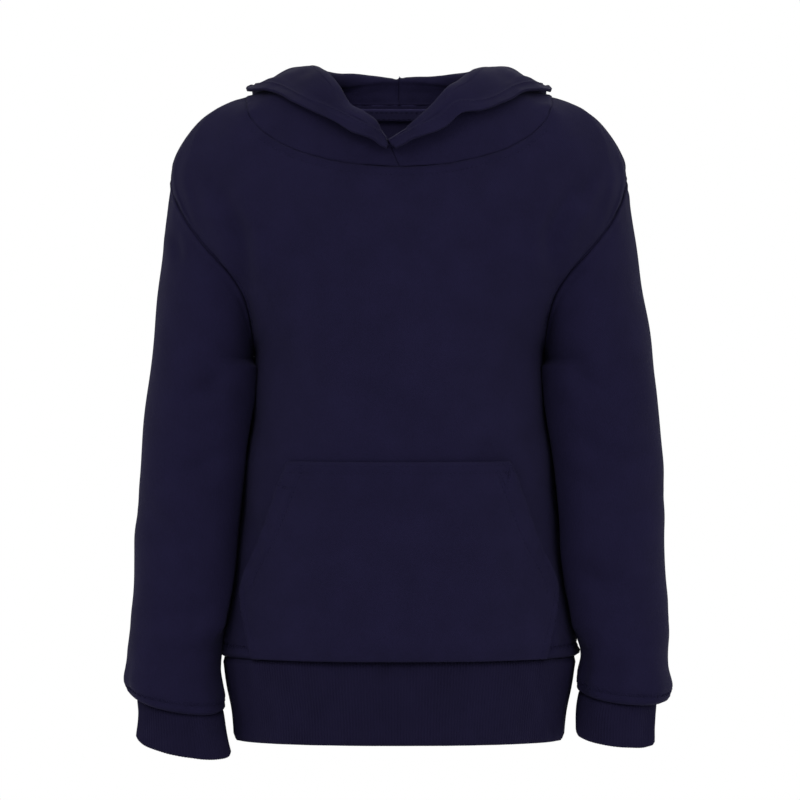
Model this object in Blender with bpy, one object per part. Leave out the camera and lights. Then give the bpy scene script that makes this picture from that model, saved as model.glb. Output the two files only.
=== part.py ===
"""Toddler pullover hoodie, filled out and hollow, with its hood lying back.

The wearer faces -Y and +Z is up. The origin is the middle of the wearer's shoulders, at the base
of the neck. Sizes below are in millimetres and become metres where the meshes are made.

Every cloth piece is a wall: a grid of points on the outside face, each with its outward direction,
and the same grid moved in by the wall's thickness.
"""

import math

import bpy
from mathutils import Vector

MM = 0.001
WALL = 2.0  # brushed-back sweatshirt knit
RIB_WALL = 2.4  # folded rib
TAPE_WALL = 1.0
SEAM_GAP = 0.3
POCKET_GAP = 1.0
TAPE_GAP = 1.0
TAPE_START = 112.0  # the station of the neck where the tape starts

WAIST = -358.0  # height of the seam between body and waistband
UNDERARM = -168.0
SHOULDER_TIP = -56.0
NECK_SIDE = -3.0
NECK_HALF_WIDTH = 97.0
NECK_FRONT_DROP = 45.5
NECK_BACK_DROP = 4.0
SECTION_POWER = 2.3  # how square the body's sections are, 2 is an ellipse

BODY_COLUMNS = 12  # cells from the centre of a panel to its side
NECK_COLUMNS = 7  # those of them that end on the neck seam
HOOD_CELLS = (2, 2, 1, 1, 2, 2, 1, 1, 2, 2)  # between a section's points, from seam to hem
FOLD_CELL = 6
FRONT_FOLD = 3  # the section's point at the fold
FOLD_ROUND = 2.0  # half of the gap between the cloth's two layers at the fold
BAG_ROUND = 6.0  # half of the gap at the bottom of the hanging hood
SLEEVE_RINGS = (-182.0, -200.0, -227.0, -255.0, -285.0, -315.0, -340.0, -360.0)

CLOTH = (0.0116, 0.0103, 0.0284, 1.0)
RIB = (0.0105, 0.0095, 0.0250, 1.0)
TAPE = (0.0130, 0.0115, 0.0300, 1.0)


class Table:
    """Rows of named columns, read between the rows on a smooth curve that never overshoots."""

    def __init__(self, names, rows):
        self.names = names.split()
        self.keys = [row[0] for row in rows]
        self.columns = {}
        for place, name in enumerate(self.names):
            values = [row[place] for row in rows]
            self.columns[name] = (values, self.slopes(values))

    def slopes(self, values):
        steps = [b - a for a, b in zip(self.keys, self.keys[1:])]
        rates = [(b - a) / step for a, b, step in zip(values, values[1:], steps)]
        inner = []
        for before, after in zip(rates, rates[1:]):
            same_way = before * after > 0.0
            inner.append(2.0 * before * after / (before + after) if same_way else 0.0)
        return [rates[0]] + inner + [rates[-1]]

    def at(self, key, name):
        values, slopes = self.columns[name]
        if key <= self.keys[0]:
            return values[0]
        if key >= self.keys[-1]:
            return values[-1]
        place = max(i for i, start in enumerate(self.keys) if start <= key)
        step = self.keys[place + 1] - self.keys[place]
        t = (key - self.keys[place]) / step
        rise = values[place + 1] - values[place]
        start, end = slopes[place] * step, slopes[place + 1] * step
        bend_in, bend_out = 3 * rise - 2 * start - end, start + end - 2 * rise
        return values[place] + t * start + t * t * bend_in + t**3 * bend_out


# The body's level sections. half_width ends on the side seam, then on the armhole, then on the
# shoulder seam. front_edge and back_edge are how far the armhole stands before and behind the
# shoulder line, and roundness is 0.5 where the section turns the corner like an ellipse.
BODY = Table(
    "height half_width front_edge back_edge front_depth back_depth roundness",
    (
        (-358.0, 111.8, 0.0, 0.0, 83.5, 81.0, 0.50),
        (-351.0, 113.0, 0.0, 0.0, 86.5, 83.5, 0.50),
        (-335.0, 110.0, 0.0, 0.0, 87.0, 84.0, 0.50),
        (-312.0, 105.6, 0.0, 0.0, 86.5, 83.0, 0.50),
        (-271.0, 101.3, 0.0, 0.0, 86.0, 81.0, 0.50),
        (-227.0, 97.3, 0.0, 0.0, 85.5, 79.5, 0.50),
        (-190.0, 91.6, 0.0, 0.0, 85.0, 79.5, 0.50),
        (-176.0, 90.7, 0.0, 0.0, 84.8, 80.0, 0.50),
        (-168.0, 92.0, 0.0, 0.0, 84.5, 80.0, 0.50),
        (-160.0, 92.4, 13.0, 12.0, 84.0, 80.0, 0.52),
        (-150.0, 93.2, 22.0, 20.0, 83.5, 79.8, 0.56),
        (-132.0, 97.0, 36.0, 32.0, 82.5, 79.5, 0.66),
        (-116.0, 106.0, 43.0, 38.0, 81.0, 79.0, 0.75),
        (-104.0, 117.5, 43.5, 39.0, 79.5, 78.5, 0.80),
        (-90.0, 129.0, 38.0, 35.0, 77.0, 77.0, 0.75),
        (-76.0, 138.0, 27.5, 26.0, 73.5, 75.0, 0.65),
        (-64.0, 143.0, 14.0, 13.5, 69.5, 72.0, 0.56),
        (-56.0, 144.6, 0.0, 0.0, 66.5, 70.0, 0.50),
        (-45.0, 143.0, 0.0, 0.0, 62.0, 66.5, 0.50),
        (-31.0, 136.0, 0.0, 0.0, 56.0, 62.0, 0.50),
        (-20.0, 127.5, 0.0, 0.0, 51.0, 58.0, 0.50),
        (-11.0, 116.5, 0.0, 0.0, 46.0, 54.5, 0.50),
        (-6.0, 106.0, 0.0, 0.0, 43.0, 52.0, 0.50),
        (-3.0, 97.0, 0.0, 0.0, 41.0, 50.0, 0.50),
    ),
)

# Rings of a hanging sleeve. outer and inner are its edges seen from in front, forward is how far
# its middle hangs before the shoulder line, and half_depth is half its size from front to back.
SLEEVE_NAMES = "height outer inner forward half_depth"
SLEEVES = {
    "right": Table(
        SLEEVE_NAMES,
        (
            (-386.0, 167.5, 112.5, 21.0, 30.0),
            (-379.0, 170.5, 111.8, 20.0, 32.0),
            (-362.0, 170.8, 112.6, 18.0, 33.0),
            (-321.0, 168.8, 108.8, 13.0, 33.0),
            (-271.0, 165.8, 104.0, 8.0, 34.0),
            (-227.0, 162.8, 99.2, 5.0, 35.5),
            (-200.0, 160.4, 95.8, 3.5, 37.5),
            (-182.0, 158.6, 94.4, 2.5, 39.0),
        ),
    ),
    "left": Table(
        SLEEVE_NAMES,
        (
            (-382.0, 168.0, 115.0, 14.0, 30.0),
            (-375.0, 171.0, 114.0, 13.5, 32.0),
            (-358.0, 171.0, 115.5, 12.0, 33.0),
            (-332.0, 170.0, 111.8, 10.0, 33.0),
            (-312.0, 169.5, 107.4, 9.0, 33.5),
            (-271.0, 168.0, 103.2, 7.0, 34.5),
            (-227.0, 166.8, 99.6, 5.0, 35.5),
            (-200.0, 164.8, 96.0, 3.5, 37.5),
            (-182.0, 163.2, 94.6, 2.5, 39.0),
        ),
    ),
}

# A cuff's rings, from its seam down. lift_out and lift_front tilt its seam and its mouth.
CUFF_NAMES = "drop outer inner forward half_depth"
CUFFS = {
    "right": Table(
        CUFF_NAMES,
        (
            (0.0, 165.0, 111.5, 21.5, 28.5),
            (12.0, 164.5, 109.5, 22.5, 28.0),
            (26.5, 165.5, 106.0, 24.5, 29.5),
        ),
    ),
    "left": Table(
        CUFF_NAMES,
        (
            (0.0, 163.0, 114.5, 14.5, 28.5),
            (12.0, 162.5, 112.5, 15.0, 28.0),
            (27.0, 162.0, 112.0, 17.0, 29.0),
        ),
    ),
}
CUFF_TILT = {"right": (0.17, -0.18), "left": (-0.11, -0.15)}  # rise towards the outside and the front

# The waistband's rings, from its seam down.
BAND = Table(
    "drop half_width front_depth back_depth",
    (
        (0.0, 111.8, 82.5, 80.0),
        (14.0, 109.8, 82.0, 79.5),
        (38.0, 105.5, 80.5, 78.0),
        (52.5, 104.5, 80.0, 77.5),
    ),
)

# The pocket, from the waist seam up.
POCKET = Table(
    "height half_width",
    ((-357.4, 92.0), (-319.0, 98.5), (-280.0, 85.0), (-237.0, 70.5), (-233.0, 69.0)),
)

POCKET_ROWS = (-357.4, -350, -337, -326, -316, -304, -292, -280, -266, -252, -238, -233)

# The hood, by stations round the neck from the front (0) to the middle of the back (180). Each
# names three lines that the cloth runs through: fold, where it turns over; bag, the bottom of what
# hangs; and hem, the edge of the face opening.
HOOD = Table(
    "station fold_x fold_y fold_z bag_x bag_y bag_z hem_x hem_y hem_z",
    (
        (8.5, 7.5, -64.4, -27.0, 9.5, -69.6, -28.5, 12.0, -71.2, -29.5),
        (15.0, 13.0, -62.6, -21.8, 16.4, -67.6, -25.9, 20.5, -71.0, -30.0),
        (37.0, 30.0, -53.0, -6.6, 35.0, -61.5, -14.0, 38.0, -63.5, -18.6),
        (60.0, 43.0, -34.0, 7.4, 55.0, -46.5, -6.0, 62.0, -49.5, -10.5),
        (75.0, 48.5, -18.0, 12.0, 67.0, -28.0, 2.2, 77.0, -31.5, -1.6),
        (90.0, 50.0, -2.0, 12.6, 79.0, -6.0, 7.2, 91.5, -8.0, 0.2),
        (97.0, 50.0, 6.0, 12.8, 85.0, 8.0, 4.0, 96.5, 6.0, 0.4),
        (108.0, 49.0, 17.0, 12.8, 90.0, 28.0, -4.5, 95.0, 27.0, 4.6),
        (128.0, 42.0, 37.0, 10.8, 86.0, 62.0, -46.0, 84.0, 59.0, 0.0),
        (152.0, 25.0, 55.0, 9.6, 50.0, 86.0, -102.0, 51.0, 87.0, -7.0),
        (180.0, 0.0, 62.5, 9.8, 0.0, 92.0, -127.0, 0.0, 99.0, -9.5),
    ),
)

# The front ends of the hood, where its halves meet: the cloth stands up, then turns outwards.
FRONT_END = Table(
    "station stand strip turn",
    (
        (0.0, 15.0, 4.8, 135.0),
        (4.0, 17.2, 6.4, 128.0),
        (8.5, 20.0, 8.6, 118.0),
    ),
)
FRONT_CLOSE = 0.42  # how much narrower the front stands at its fold than at the neck seam
LEAN = {"right": -1.0, "left": 1.0}  # the wearer's left side of the hood's front stands higher
LEAN_STATION = 36.0
MEET_SHIFT = -6.5  # at their fold the halves meet this far towards the wearer's right
MEET_SPREAD = 16.0  # degrees of the neck over which that shift fades
FRONT_START = 0.2  # station where each half ends

# Rows of a body panel: where each meets the panel's middle and its edge. The rows up to the
# underarm end on the side seam, and the others on the armhole. shaped is how far a row takes
# after the panel's top.
PANEL_ROWS = (
    # middle, edge, shaped
    (-358.0, -358.0, 0.0),
    (-350.0, -350.0, 0.0),
    (-337.0, -337.0, 0.0),
    (-316.0, -316.0, 0.0),
    (-280.0, -280.0, 0.0),
    (-238.0, -238.0, 0.02),
    (-205.0, -203.0, 0.07),
    (-176.0, -168.0, 0.15),
    (-152.0, -158.0, 0.24),
    (-130.0, -145.0, 0.35),
    (-110.0, -130.0, 0.46),
    (-92.0, -115.0, 0.58),
    (-77.0, -100.0, 0.70),
    (-65.5, -86.0, 0.81),
    (-56.5, -73.0, 0.91),
    (-51.0, -62.0, 0.975),
    (-48.5, -56.0, 1.0),
)
ARMHOLE_HEIGHTS = [edge for middle, edge, shaped in PANEL_ROWS if edge >= UNDERARM][::-1]
SLEEVE_SIDES = 2 * (len(ARMHOLE_HEIGHTS) - 1)
MIDDLE_TURN = -176.0  # above this the back's middle climbs to its higher neck
NECK_SHARE = NECK_COLUMNS / BODY_COLUMNS
EXTRA_STATIONS = [4.0, 8.5, 96.5, 109.5]  # more of the hood where it starts to turn over and to hang
NECK_STATIONS = [90.0 * column / NECK_COLUMNS for column in range(2 * NECK_COLUMNS + 1)]


def unit(vector):
    return vector.normalized()


def angle_power(value, power):
    return math.copysign(abs(value) ** power, value)


def ease(t):
    t = min(max(t, 0.0), 1.0)
    return t * t * (3.0 - 2.0 * t)


def body_depth(x, height, face):
    """How far the body stands before (face -1) or behind (face 1) the shoulder line."""
    half_width = BODY.at(height, "half_width")
    edge = BODY.at(height, "front_edge" if face < 0 else "back_edge")
    depth = BODY.at(height, "front_depth" if face < 0 else "back_depth")
    share = min(abs(x) / half_width, 1.0) ** SECTION_POWER
    return edge + (depth - edge) * max(1.0 - share, 0.0) ** BODY.at(height, "roundness")


def neck_point(station):
    """The neck seam at a station: 0 in front, 90 at the side, 180 behind."""
    front = station <= 90.0
    along = abs(station) / 90.0 if front else (180.0 - station) / 90.0
    turn = math.radians(90.0) * (1.0 - (1.0 - min(along, 1.0)) ** 1.25)
    drop = NECK_FRONT_DROP * math.cos(turn) ** 0.9 if front else NECK_BACK_DROP * math.cos(turn) ** 1.2
    x = math.copysign(NECK_HALF_WIDTH * math.sin(turn), station)
    height = NECK_SIDE - drop
    face = -1 if front else 1
    return Vector((x, face * body_depth(x, height, face), height))


def shoulder_height(along):
    """Height of the shoulder seam, from the neck (0) to its tip (1)."""
    return NECK_SIDE + (SHOULDER_TIP - NECK_SIDE) * along**1.6


def panel_point(across, row, face):
    """A panel's point: across runs from side to side (-1 to 1), up its rows."""
    middle, edge, shaped = row
    side = abs(across)
    top = neck_point(0.0).z if face < 0 else neck_point(180.0).z
    if middle > MIDDLE_TURN:
        climb = (top - MIDDLE_TURN) / (neck_point(0.0).z - MIDDLE_TURN)
        middle = MIDDLE_TURN + (middle - MIDDLE_TURN) * climb
    if side <= NECK_SHARE:
        station = 90.0 * side / NECK_SHARE
        rim = neck_point(station if face < 0 else 180.0 - station)
        rim_x, rim_height = abs(rim.x), rim.z
    else:
        rim_height = shoulder_height((side - NECK_SHARE) / (1.0 - NECK_SHARE))
        rim_x = BODY.at(rim_height, "half_width")
    rise = rim_height - (top + (SHOULDER_TIP - top) * side)
    height = middle + (edge - middle) * side + shaped * rise
    even = 0.8 * min(2.5 * shaped, 1.0)
    share = (1.0 - even) * math.sin(math.radians(90.0) * side) + even * side
    share += shaped * (rim_x / BODY.at(rim_height, "half_width") - share)
    x = math.copysign(share * BODY.at(height, "half_width"), across)
    return Vector((x, face * max(body_depth(x, height, face), SEAM_GAP / 2.0), height))


def grid_normals(points, closed=False, way=1.0):
    """Outward directions of a grid, from the points beside each one."""
    rows, columns = len(points), len(points[0])
    normals = []
    for j in range(rows):
        line = []
        for i in range(columns):
            if closed:
                before, after = points[j][i - 1], points[j][(i + 1) % columns]
            else:
                before, after = points[j][max(i - 1, 0)], points[j][min(i + 1, columns - 1)]
            below, above = points[max(j - 1, 0)][i], points[min(j + 1, rows - 1)][i]
            line.append(unit((after - before).cross(above - below)) * way)
        normals.append(line)
    return normals


def cloth(name, points, normals, wall, colour, closed=False):
    """A closed wall from a grid of outside points and their outward directions."""
    rows, columns = len(points), len(points[0])
    outside = [p for line in points for p in line]
    directions = [n for line in normals for n in line]
    inside = [p - n * wall for p, n in zip(outside, directions)]
    count = rows * columns
    spans = columns if closed else columns - 1
    faces = []
    for j in range(rows - 1):
        for i in range(spans):
            a, b = j * columns + i, j * columns + (i + 1) % columns
            c, d = b + columns, a + columns
            faces.append((a, b, c, d))
            faces.append((a + count, d + count, c + count, b + count))
    for i in range(spans):
        a, b = i, (i + 1) % columns
        faces.append((b, a, a + count, b + count))
        a, b = a + (rows - 1) * columns, b + (rows - 1) * columns
        faces.append((a, b, b + count, a + count))
    if not closed:
        for j in range(rows - 1):
            a, d = j * columns, (j + 1) * columns
            faces.append((a, d, d + count, a + count))
            b, c = a + columns - 1, d + columns - 1
            faces.append((c, b, b + count, c + count))
    mesh = bpy.data.meshes.new(name)
    mesh.from_pydata([v * MM for v in outside + inside], [], faces)
    mesh.validate()
    mesh.update()
    mesh.shade_smooth()
    piece = bpy.data.objects.new(name, mesh)
    bpy.context.scene.collection.objects.link(piece)
    mesh.materials.append(material(*colour))
    return piece


def material(name, colour, roughness=0.95):
    found = bpy.data.materials.get(name)
    if found:
        return found
    made = bpy.data.materials.new(name)
    made.use_nodes = True
    shader = made.node_tree.nodes["Principled BSDF"]
    shader.inputs["Base Color"].default_value = colour
    shader.inputs["Roughness"].default_value = roughness
    shader.inputs["Metallic"].default_value = 0.0
    return made


FLEECE = ("navy_fleece", CLOTH)
RIBBING = ("navy_rib", RIB)
TWILL = ("navy_tape", TAPE)


def armhole_point(height, face):
    return Vector((BODY.at(height, "half_width"), face * edge_depth(height, face), height))


def armhole_frame(height, face):
    """The armhole at a height: point, direction out of the cloth's outside face, and direction
    from the body to the sleeve."""
    slant = math.radians(25.0) * (height - UNDERARM) / (SHOULDER_TIP - UNDERARM)
    onward = Vector((math.cos(slant), 0.0, -math.sin(slant)))
    if height >= SHOULDER_TIP:
        along = Vector((0.0, face, 0.0))
    elif height <= UNDERARM:
        along = Vector((0.0, -face, 0.0))
    else:
        along = armhole_point(height - 0.5, face) - armhole_point(height + 0.5, face)
    return armhole_point(height, face), unit(onward.cross(along)) * face, onward


def edge_depth(height, face):
    return max(BODY.at(height, "front_edge" if face < 0 else "back_edge"), SEAM_GAP / 2.0)


def neck_frame(station):
    """The neck seam: point, outward direction shared by body and hood, direction from body to hood."""
    step = 1.0
    before, after = neck_point(station - step), neck_point(station + step)
    point = neck_point(station)
    along = unit(after - before)
    if abs(station - 90.0) < 1.5:
        along = Vector((0.0, 1.0, 0.0))
    if station < step or station > 180.0 - step:
        along = Vector((1.0 if station < step else -1.0, 0.0, 0.0))
    x, height = abs(point.x), point.z
    face = -1 if station <= 90.0 else 1
    lower = height - 6.0
    body_rise = unit(point - Vector((point.x, face * body_depth(x, lower, face), lower)))
    stand = Vector((0.0, 0.0, 1.0))
    if station > MEET_SPREAD:
        stand = unit(hood_line(station, "fold", "left") - point)
    onward = unit(body_rise + stand)
    outward = unit(along.cross(onward))
    onward = unit(outward.cross(along))
    return point, outward, onward


def body_panel(name, face):
    """Front or back: side seams, armholes, shoulder seams and its half of the neck."""
    across = [i / BODY_COLUMNS for i in range(-BODY_COLUMNS, BODY_COLUMNS + 1)]
    if face > 0:
        across = across[::-1]
    points = [[panel_point(s, row, face) for s in across] for row in PANEL_ROWS]
    normals = grid_normals(points)
    top = len(PANEL_ROWS) - 1
    for j, row in enumerate(PANEL_ROWS):
        for i, s in enumerate(across):
            normal = normals[j][i]
            shared = None
            if j == 0:
                normal.z = 0.0
            on_side_seam = abs(s) == 1.0 and row[1] < UNDERARM
            if on_side_seam or j == top and abs(s) >= NECK_SHARE:
                normal.y = 0.0
            if abs(s) == 1.0 and row[1] >= UNDERARM:
                shared = armhole_frame(row[1], face)[1]
            if j == top and abs(s) < NECK_SHARE:
                station = 90.0 * abs(s) / NECK_SHARE
                shared = neck_frame(station if face < 0 else 180.0 - station)[1]
            if shared:
                normals[j][i] = Vector((math.copysign(1.0, s) * shared.x, shared.y, shared.z))
            normals[j][i].normalize()
    return cloth(name, points, normals, WALL, FLEECE)


def mirrored(point, side):
    return Vector((-point.x, point.y, point.z)) if side == "right" else point


def cuff_plane(side, x, y):
    """Height of the slanted seam between sleeve and cuff."""
    table = SLEEVES[side]
    middle = (table.columns["outer"][0][0] + table.columns["inner"][0][0]) / 2.0
    rise_out, rise_front = CUFF_TILT[side]
    return table.keys[0] + rise_out * (x - middle) - rise_front * (y + table.columns["forward"][0][0])


def in_plane(normal, side):
    """Lays a direction along the slanted cuff seam."""
    rise_out, rise_front = CUFF_TILT[side]
    normal.z = rise_out * normal.x - rise_front * normal.y
    normal.normalize()


def ring(table, key, side, tilt, drop):
    """A ring of a sleeve or a cuff. It runs from the outer side over the front."""
    outer, inner = table.at(key, "outer"), table.at(key, "inner")
    forward, half_depth = table.at(key, "forward"), table.at(key, "half_depth")
    points = []
    for i in range(SLEEVE_SIDES):
        turn = 2.0 * math.pi * i / SLEEVE_SIDES
        x = (outer + inner) / 2.0 + (outer - inner) / 2.0 * angle_power(math.cos(turn), 0.92)
        y = -forward - half_depth * angle_power(math.sin(turn), 0.92)
        level = SLEEVES[side].keys[0]
        points.append(Vector((x, y, level + drop + tilt * (cuff_plane(side, x, y) - level))))
    return points


def sleeve(side):
    table = SLEEVES[side]
    bottom, top = table.keys[0], table.keys[-1]
    loop, loop_normals = [], []
    for i in range(SLEEVE_SIDES):
        face = -1 if i <= SLEEVE_SIDES / 2 else 1
        height = ARMHOLE_HEIGHTS[min(i, SLEEVE_SIDES - i)]
        point, outward, onward = armhole_frame(height, face)
        if height in (SHOULDER_TIP, UNDERARM):
            point.y = 0.0
        loop.append(point + onward * SEAM_GAP)
        loop_normals.append(outward)
    rings = []
    for height in SLEEVE_RINGS + (table.keys[1], bottom):
        tilt = ease((top - height) / (top - bottom))
        rings.append(ring(table, height, side, tilt, height - bottom))
    between = [[a.lerp(b, share) for a, b in zip(loop, rings[0])] for share in (0.35, 0.7)]
    points = ([loop] + between + rings)[::-1]
    normals = grid_normals(points, closed=True, way=-1.0)
    normals[-1] = loop_normals
    for normal in normals[0]:
        in_plane(normal, side)
    return finish_tube("sleeve_" + side, points, normals, side, WALL, FLEECE)


def finish_tube(name, points, normals, side, wall, colour):
    """Makes a ring-by-ring tube, turned over for the wearer's right."""
    points = [[mirrored(p, side) for p in line] for line in points]
    normals = [[mirrored(n, side) for n in line] for line in normals]
    if side == "left":
        points = [line[::-1] for line in points]
        normals = [line[::-1] for line in normals]
    return cloth(name, points, normals, wall, colour, closed=True)


def cuff(side):
    table = CUFFS[side]
    points = [ring(table, drop, side, 1.0, -drop) for drop in (table.keys[-1], table.keys[1], SEAM_GAP)]
    normals = grid_normals(points, closed=True, way=-1.0)
    for line in normals:
        for normal in line:
            in_plane(normal, side)
    return finish_tube("cuff_" + side, points, normals, side, RIB_WALL, RIBBING)


def waistband():
    sides = 4 * BODY_COLUMNS
    points = []
    for drop in (52.5, 36.0, 18.0, SEAM_GAP):
        half_width = BAND.at(drop, "half_width")
        line = []
        for i in range(sides):
            turn = 2.0 * math.pi * i / sides
            depth = BAND.at(drop, "front_depth" if math.cos(turn) > 0 else "back_depth")
            x = half_width * angle_power(math.sin(turn), 2.0 / SECTION_POWER)
            y = -depth * angle_power(math.cos(turn), 2.0 / SECTION_POWER)
            line.append(Vector((x, y, WAIST - drop)))
        points.append(line)
    normals = grid_normals(points, closed=True)
    for line in normals:
        for normal in line:
            normal.z = 0.0
            normal.normalize()
    return cloth("waistband", points, normals, RIB_WALL, RIBBING, closed=True)


def pocket():
    columns = 14
    points = []
    for height in POCKET_ROWS:
        reach = math.asin(POCKET.at(height, "half_width") / BODY.at(height, "half_width"))
        line = []
        for i in range(columns + 1):
            x = BODY.at(height, "half_width") * math.sin(reach * (2.0 * i / columns - 1.0))
            line.append(Vector((x, -body_depth(x, height, -1), height)))
        points.append(line)
    normals = grid_normals(points)
    for normal in normals[0]:
        normal.z = 0.0
        normal.normalize()
    raised = WALL + POCKET_GAP
    points = [[p + n * raised for p, n in zip(line, sides)] for line, sides in zip(points, normals)]
    return cloth("pocket", points, normals, WALL, FLEECE)


def neck_tape():
    """A strip inside the back, just under the neck seam."""
    columns, width = 18, 8.0
    points, normals = [], []
    for drop in (width + 1.2, 1.2):
        line, directions = [], []
        for i in range(columns + 1):
            station = TAPE_START + (360.0 - 2.0 * TAPE_START) * i / columns
            mirror = 1.0 if station <= 180.0 else -1.0
            seam = neck_point(min(station, 360.0 - station))
            height = seam.z - drop
            x = seam.x * mirror
            base = Vector((x, body_depth(seam.x, height, 1), height))
            slope_x = body_depth(seam.x + 1.0, height, 1) - body_depth(seam.x - 1.0, height, 1)
            slope_z = body_depth(seam.x, height + 1.0, 1) - body_depth(seam.x, height - 1.0, 1)
            outward = unit(Vector((-slope_x / 2.0 * mirror, 1.0, -slope_z / 2.0)))
            directions.append(outward)
            line.append(base - outward * (WALL + TAPE_GAP))
        points.append(line)
        normals.append(directions)
    return cloth("neck_tape", points, normals, TAPE_WALL, TWILL)


def hood_line(station, line, side):
    """A point of the fold, bag or hem line, as if for the wearer's left."""
    point = Vector([HOOD.at(station, line + axis) for axis in ("_x", "_y", "_z")])
    point.x += meet_shift(station, side)
    lean = {"fold": 5.5, "bag": 4.0, "hem": 3.0}[line]
    point.z += LEAN[side] * lean * math.exp(-(((station - LEAN_STATION) / 12.0) ** 2))
    return point


def meet_shift(station, side):
    shift = MEET_SHIFT * math.exp(-((station / MEET_SPREAD) ** 2))
    return shift if side == "left" else -shift


def clear_of_back(point):
    """Moves what hangs behind the shoulders out of the back panel."""
    room = 3.0
    x, height = abs(point.x), point.z
    if point.y <= 0.0 or height > NECK_SIDE or x >= BODY.at(height, "half_width") + room:
        return point
    short = body_depth(x, height, 1) + room - point.y
    if short <= 0.0:
        return point
    rise = body_depth(x, height + 1.0, 1) - body_depth(x, height - 1.0, 1)
    spread = body_depth(x + 1.0, height, 1) - body_depth(max(x - 1.0, 0.0), height, 1)
    outward = unit(Vector((-spread / 2.0 * math.copysign(1.0, point.x), 1.0, -rise / 2.0)))
    return point + outward * short * outward.y


def bend(points, cells):
    """A smooth curve through points, with a number of cells for each span."""
    ends = [points[0] * 2.0 - points[1]] + points + [points[-1] * 2.0 - points[-2]]
    line = [points[0]]
    for place, count in enumerate(cells):
        p = ends[place : place + 4]
        knots = [0.0]
        for a, b in zip(p, p[1:]):
            knots.append(knots[-1] + math.sqrt(max((b - a).length, 0.01)))
        for k in range(1, count + 1):
            at = knots[1] + (knots[2] - knots[1]) * k / count
            level = p
            for width in (1, 2):
                level = [
                    level[i].lerp(level[i + 1], (at - knots[i]) / (knots[i + width] - knots[i]))
                    for i in range(len(level) - 1)
                ]
            line.append(level[0].lerp(level[1], (at - knots[1]) / (knots[2] - knots[1])))
    return line


def seam_frame(station):
    """The neck seam between the body's own points, which the hood's edge has to follow."""
    step = NECK_STATIONS[1]
    low = min(int(station / step), len(NECK_STATIONS) - 2)
    frames = neck_frame(NECK_STATIONS[low]), neck_frame(NECK_STATIONS[low + 1])
    return [a.lerp(b, station / step - low) for a, b in zip(*frames)]


def front_section(station, side, start):
    """The cloth's outside face at the lapped front ends, from the neck seam to the hem."""
    stand, strip = FRONT_END.at(station, "stand"), FRONT_END.at(station, "strip")
    turn = math.radians(FRONT_END.at(station, "turn"))
    across, out = Vector((1.0, 0.0, 0.0)), Vector((0.0, -1.0, 0.0))
    path = [(0.0, 0.0), (stand / 2.0, -FOLD_ROUND / 2.0)]
    for share in (0.0, 0.5, 1.0):
        angle = turn * share
        path.append((stand + FOLD_ROUND * (math.sin(angle) - 1.0), -FOLD_ROUND * math.cos(angle)))
    up, forward = path[-1]
    for share in (0.2, 0.4, 0.52, 0.64, 0.82, 1.0):
        path.append((up + strip * share * math.cos(turn), forward + strip * share * math.sin(turn)))
    points = []
    for k, (rise, forward) in enumerate(path):
        spread = 4.0 * max(k - FRONT_FOLD, 0) / (len(path) - 1 - FRONT_FOLD) * math.sin(turn)
        lean = meet_shift(station, side) - (1.0 - FRONT_CLOSE) * start.x
        aside = lean * min(rise / stand, 1.0) + spread
        points.append(start + across * aside + out * forward + Vector((0.0, 0.0, rise)))
    return points


def hood_section(station, side):
    """The cloth's outside face from the neck seam, over the fold and out to the hem."""
    start, outward, onward = seam_frame(station)
    start = start + onward * SEAM_GAP
    if station <= FRONT_END.keys[-1]:
        return bend(front_section(station, side, start), HOOD_CELLS), outward
    fold, bag, hem = (hood_line(station, line, side) for line in ("fold", "bag", "hem"))
    away = unit(Vector((start.x, start.y, 0.0)))
    rise = unit(fold - start)
    out = unit(outward - rise * outward.dot(rise))
    hang = ease((station - 92.0) / 14.0)
    pouch = ease((station - 108.0) / 20.0)
    bag_round = BAG_ROUND * hang * (0.5 + 0.5 * pouch)
    before = fold - (rise + out) * FOLD_ROUND
    after = fold + (out - rise) * FOLD_ROUND
    stand = start.lerp(before, 0.5) + out * 1.0
    down = unit(bag - after)
    slack = 0.08 * (bag - after).length * (1.0 - hang)
    lie = after.lerp(bag, 0.5 - 0.15 * (1.0 - hang)) + out * slack + Vector((0.0, 0.0, 7.0 * hang))
    beside = down * min(2.0, 0.3 * (bag - after).length) * (1.0 - hang)
    turn_in = bag - beside + (Vector((0.0, 0.0, 1.0)) - away) * bag_round
    turn_out = bag + beside + (Vector((0.0, 0.0, 1.0)) + away) * bag_round
    up = turn_out.lerp(hem, 0.5) + away * 4.0 * pouch
    path = [start, stand, before, fold, after, lie, turn_in, bag, turn_out, up, hem]
    section = bend(path, HOOD_CELLS)
    return [p if k <= FOLD_CELL else clear_of_back(p) for k, p in enumerate(section)], outward


def hood_half(side):
    stations = [FRONT_START] + sorted(NECK_STATIONS[1:] + EXTRA_STATIONS)
    points, edge_normals = [], []
    for station in stations:
        section, outward = hood_section(station, side)
        points.append(section)
        edge_normals.append(outward)
    for point in points[-1]:
        point.x = SEAM_GAP / 2.0
    points = [list(line) for line in zip(*points)]
    normals = grid_normals(points)
    if normals[0][2].dot(edge_normals[2]) < 0.0:
        normals = [[-n for n in line] for line in normals]
    normals[0] = edge_normals
    meeting = unit(Vector((FRONT_END.at(0.0, "stand"), 0.0, -meet_shift(0.0, side))))
    for line in normals:
        line[0] = unit(line[0] - meeting * line[0].dot(meeting))
        line[-1].x = 0.0
        line[-1].normalize()
    points = [[mirrored(p, side) for p in line] for line in points]
    normals = [[mirrored(n, side) for n in line] for line in normals]
    if side == "right":
        points = [line[::-1] for line in points]
        normals = [line[::-1] for line in normals]
    return cloth("hood_" + side, points, normals, WALL, FLEECE)


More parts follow.
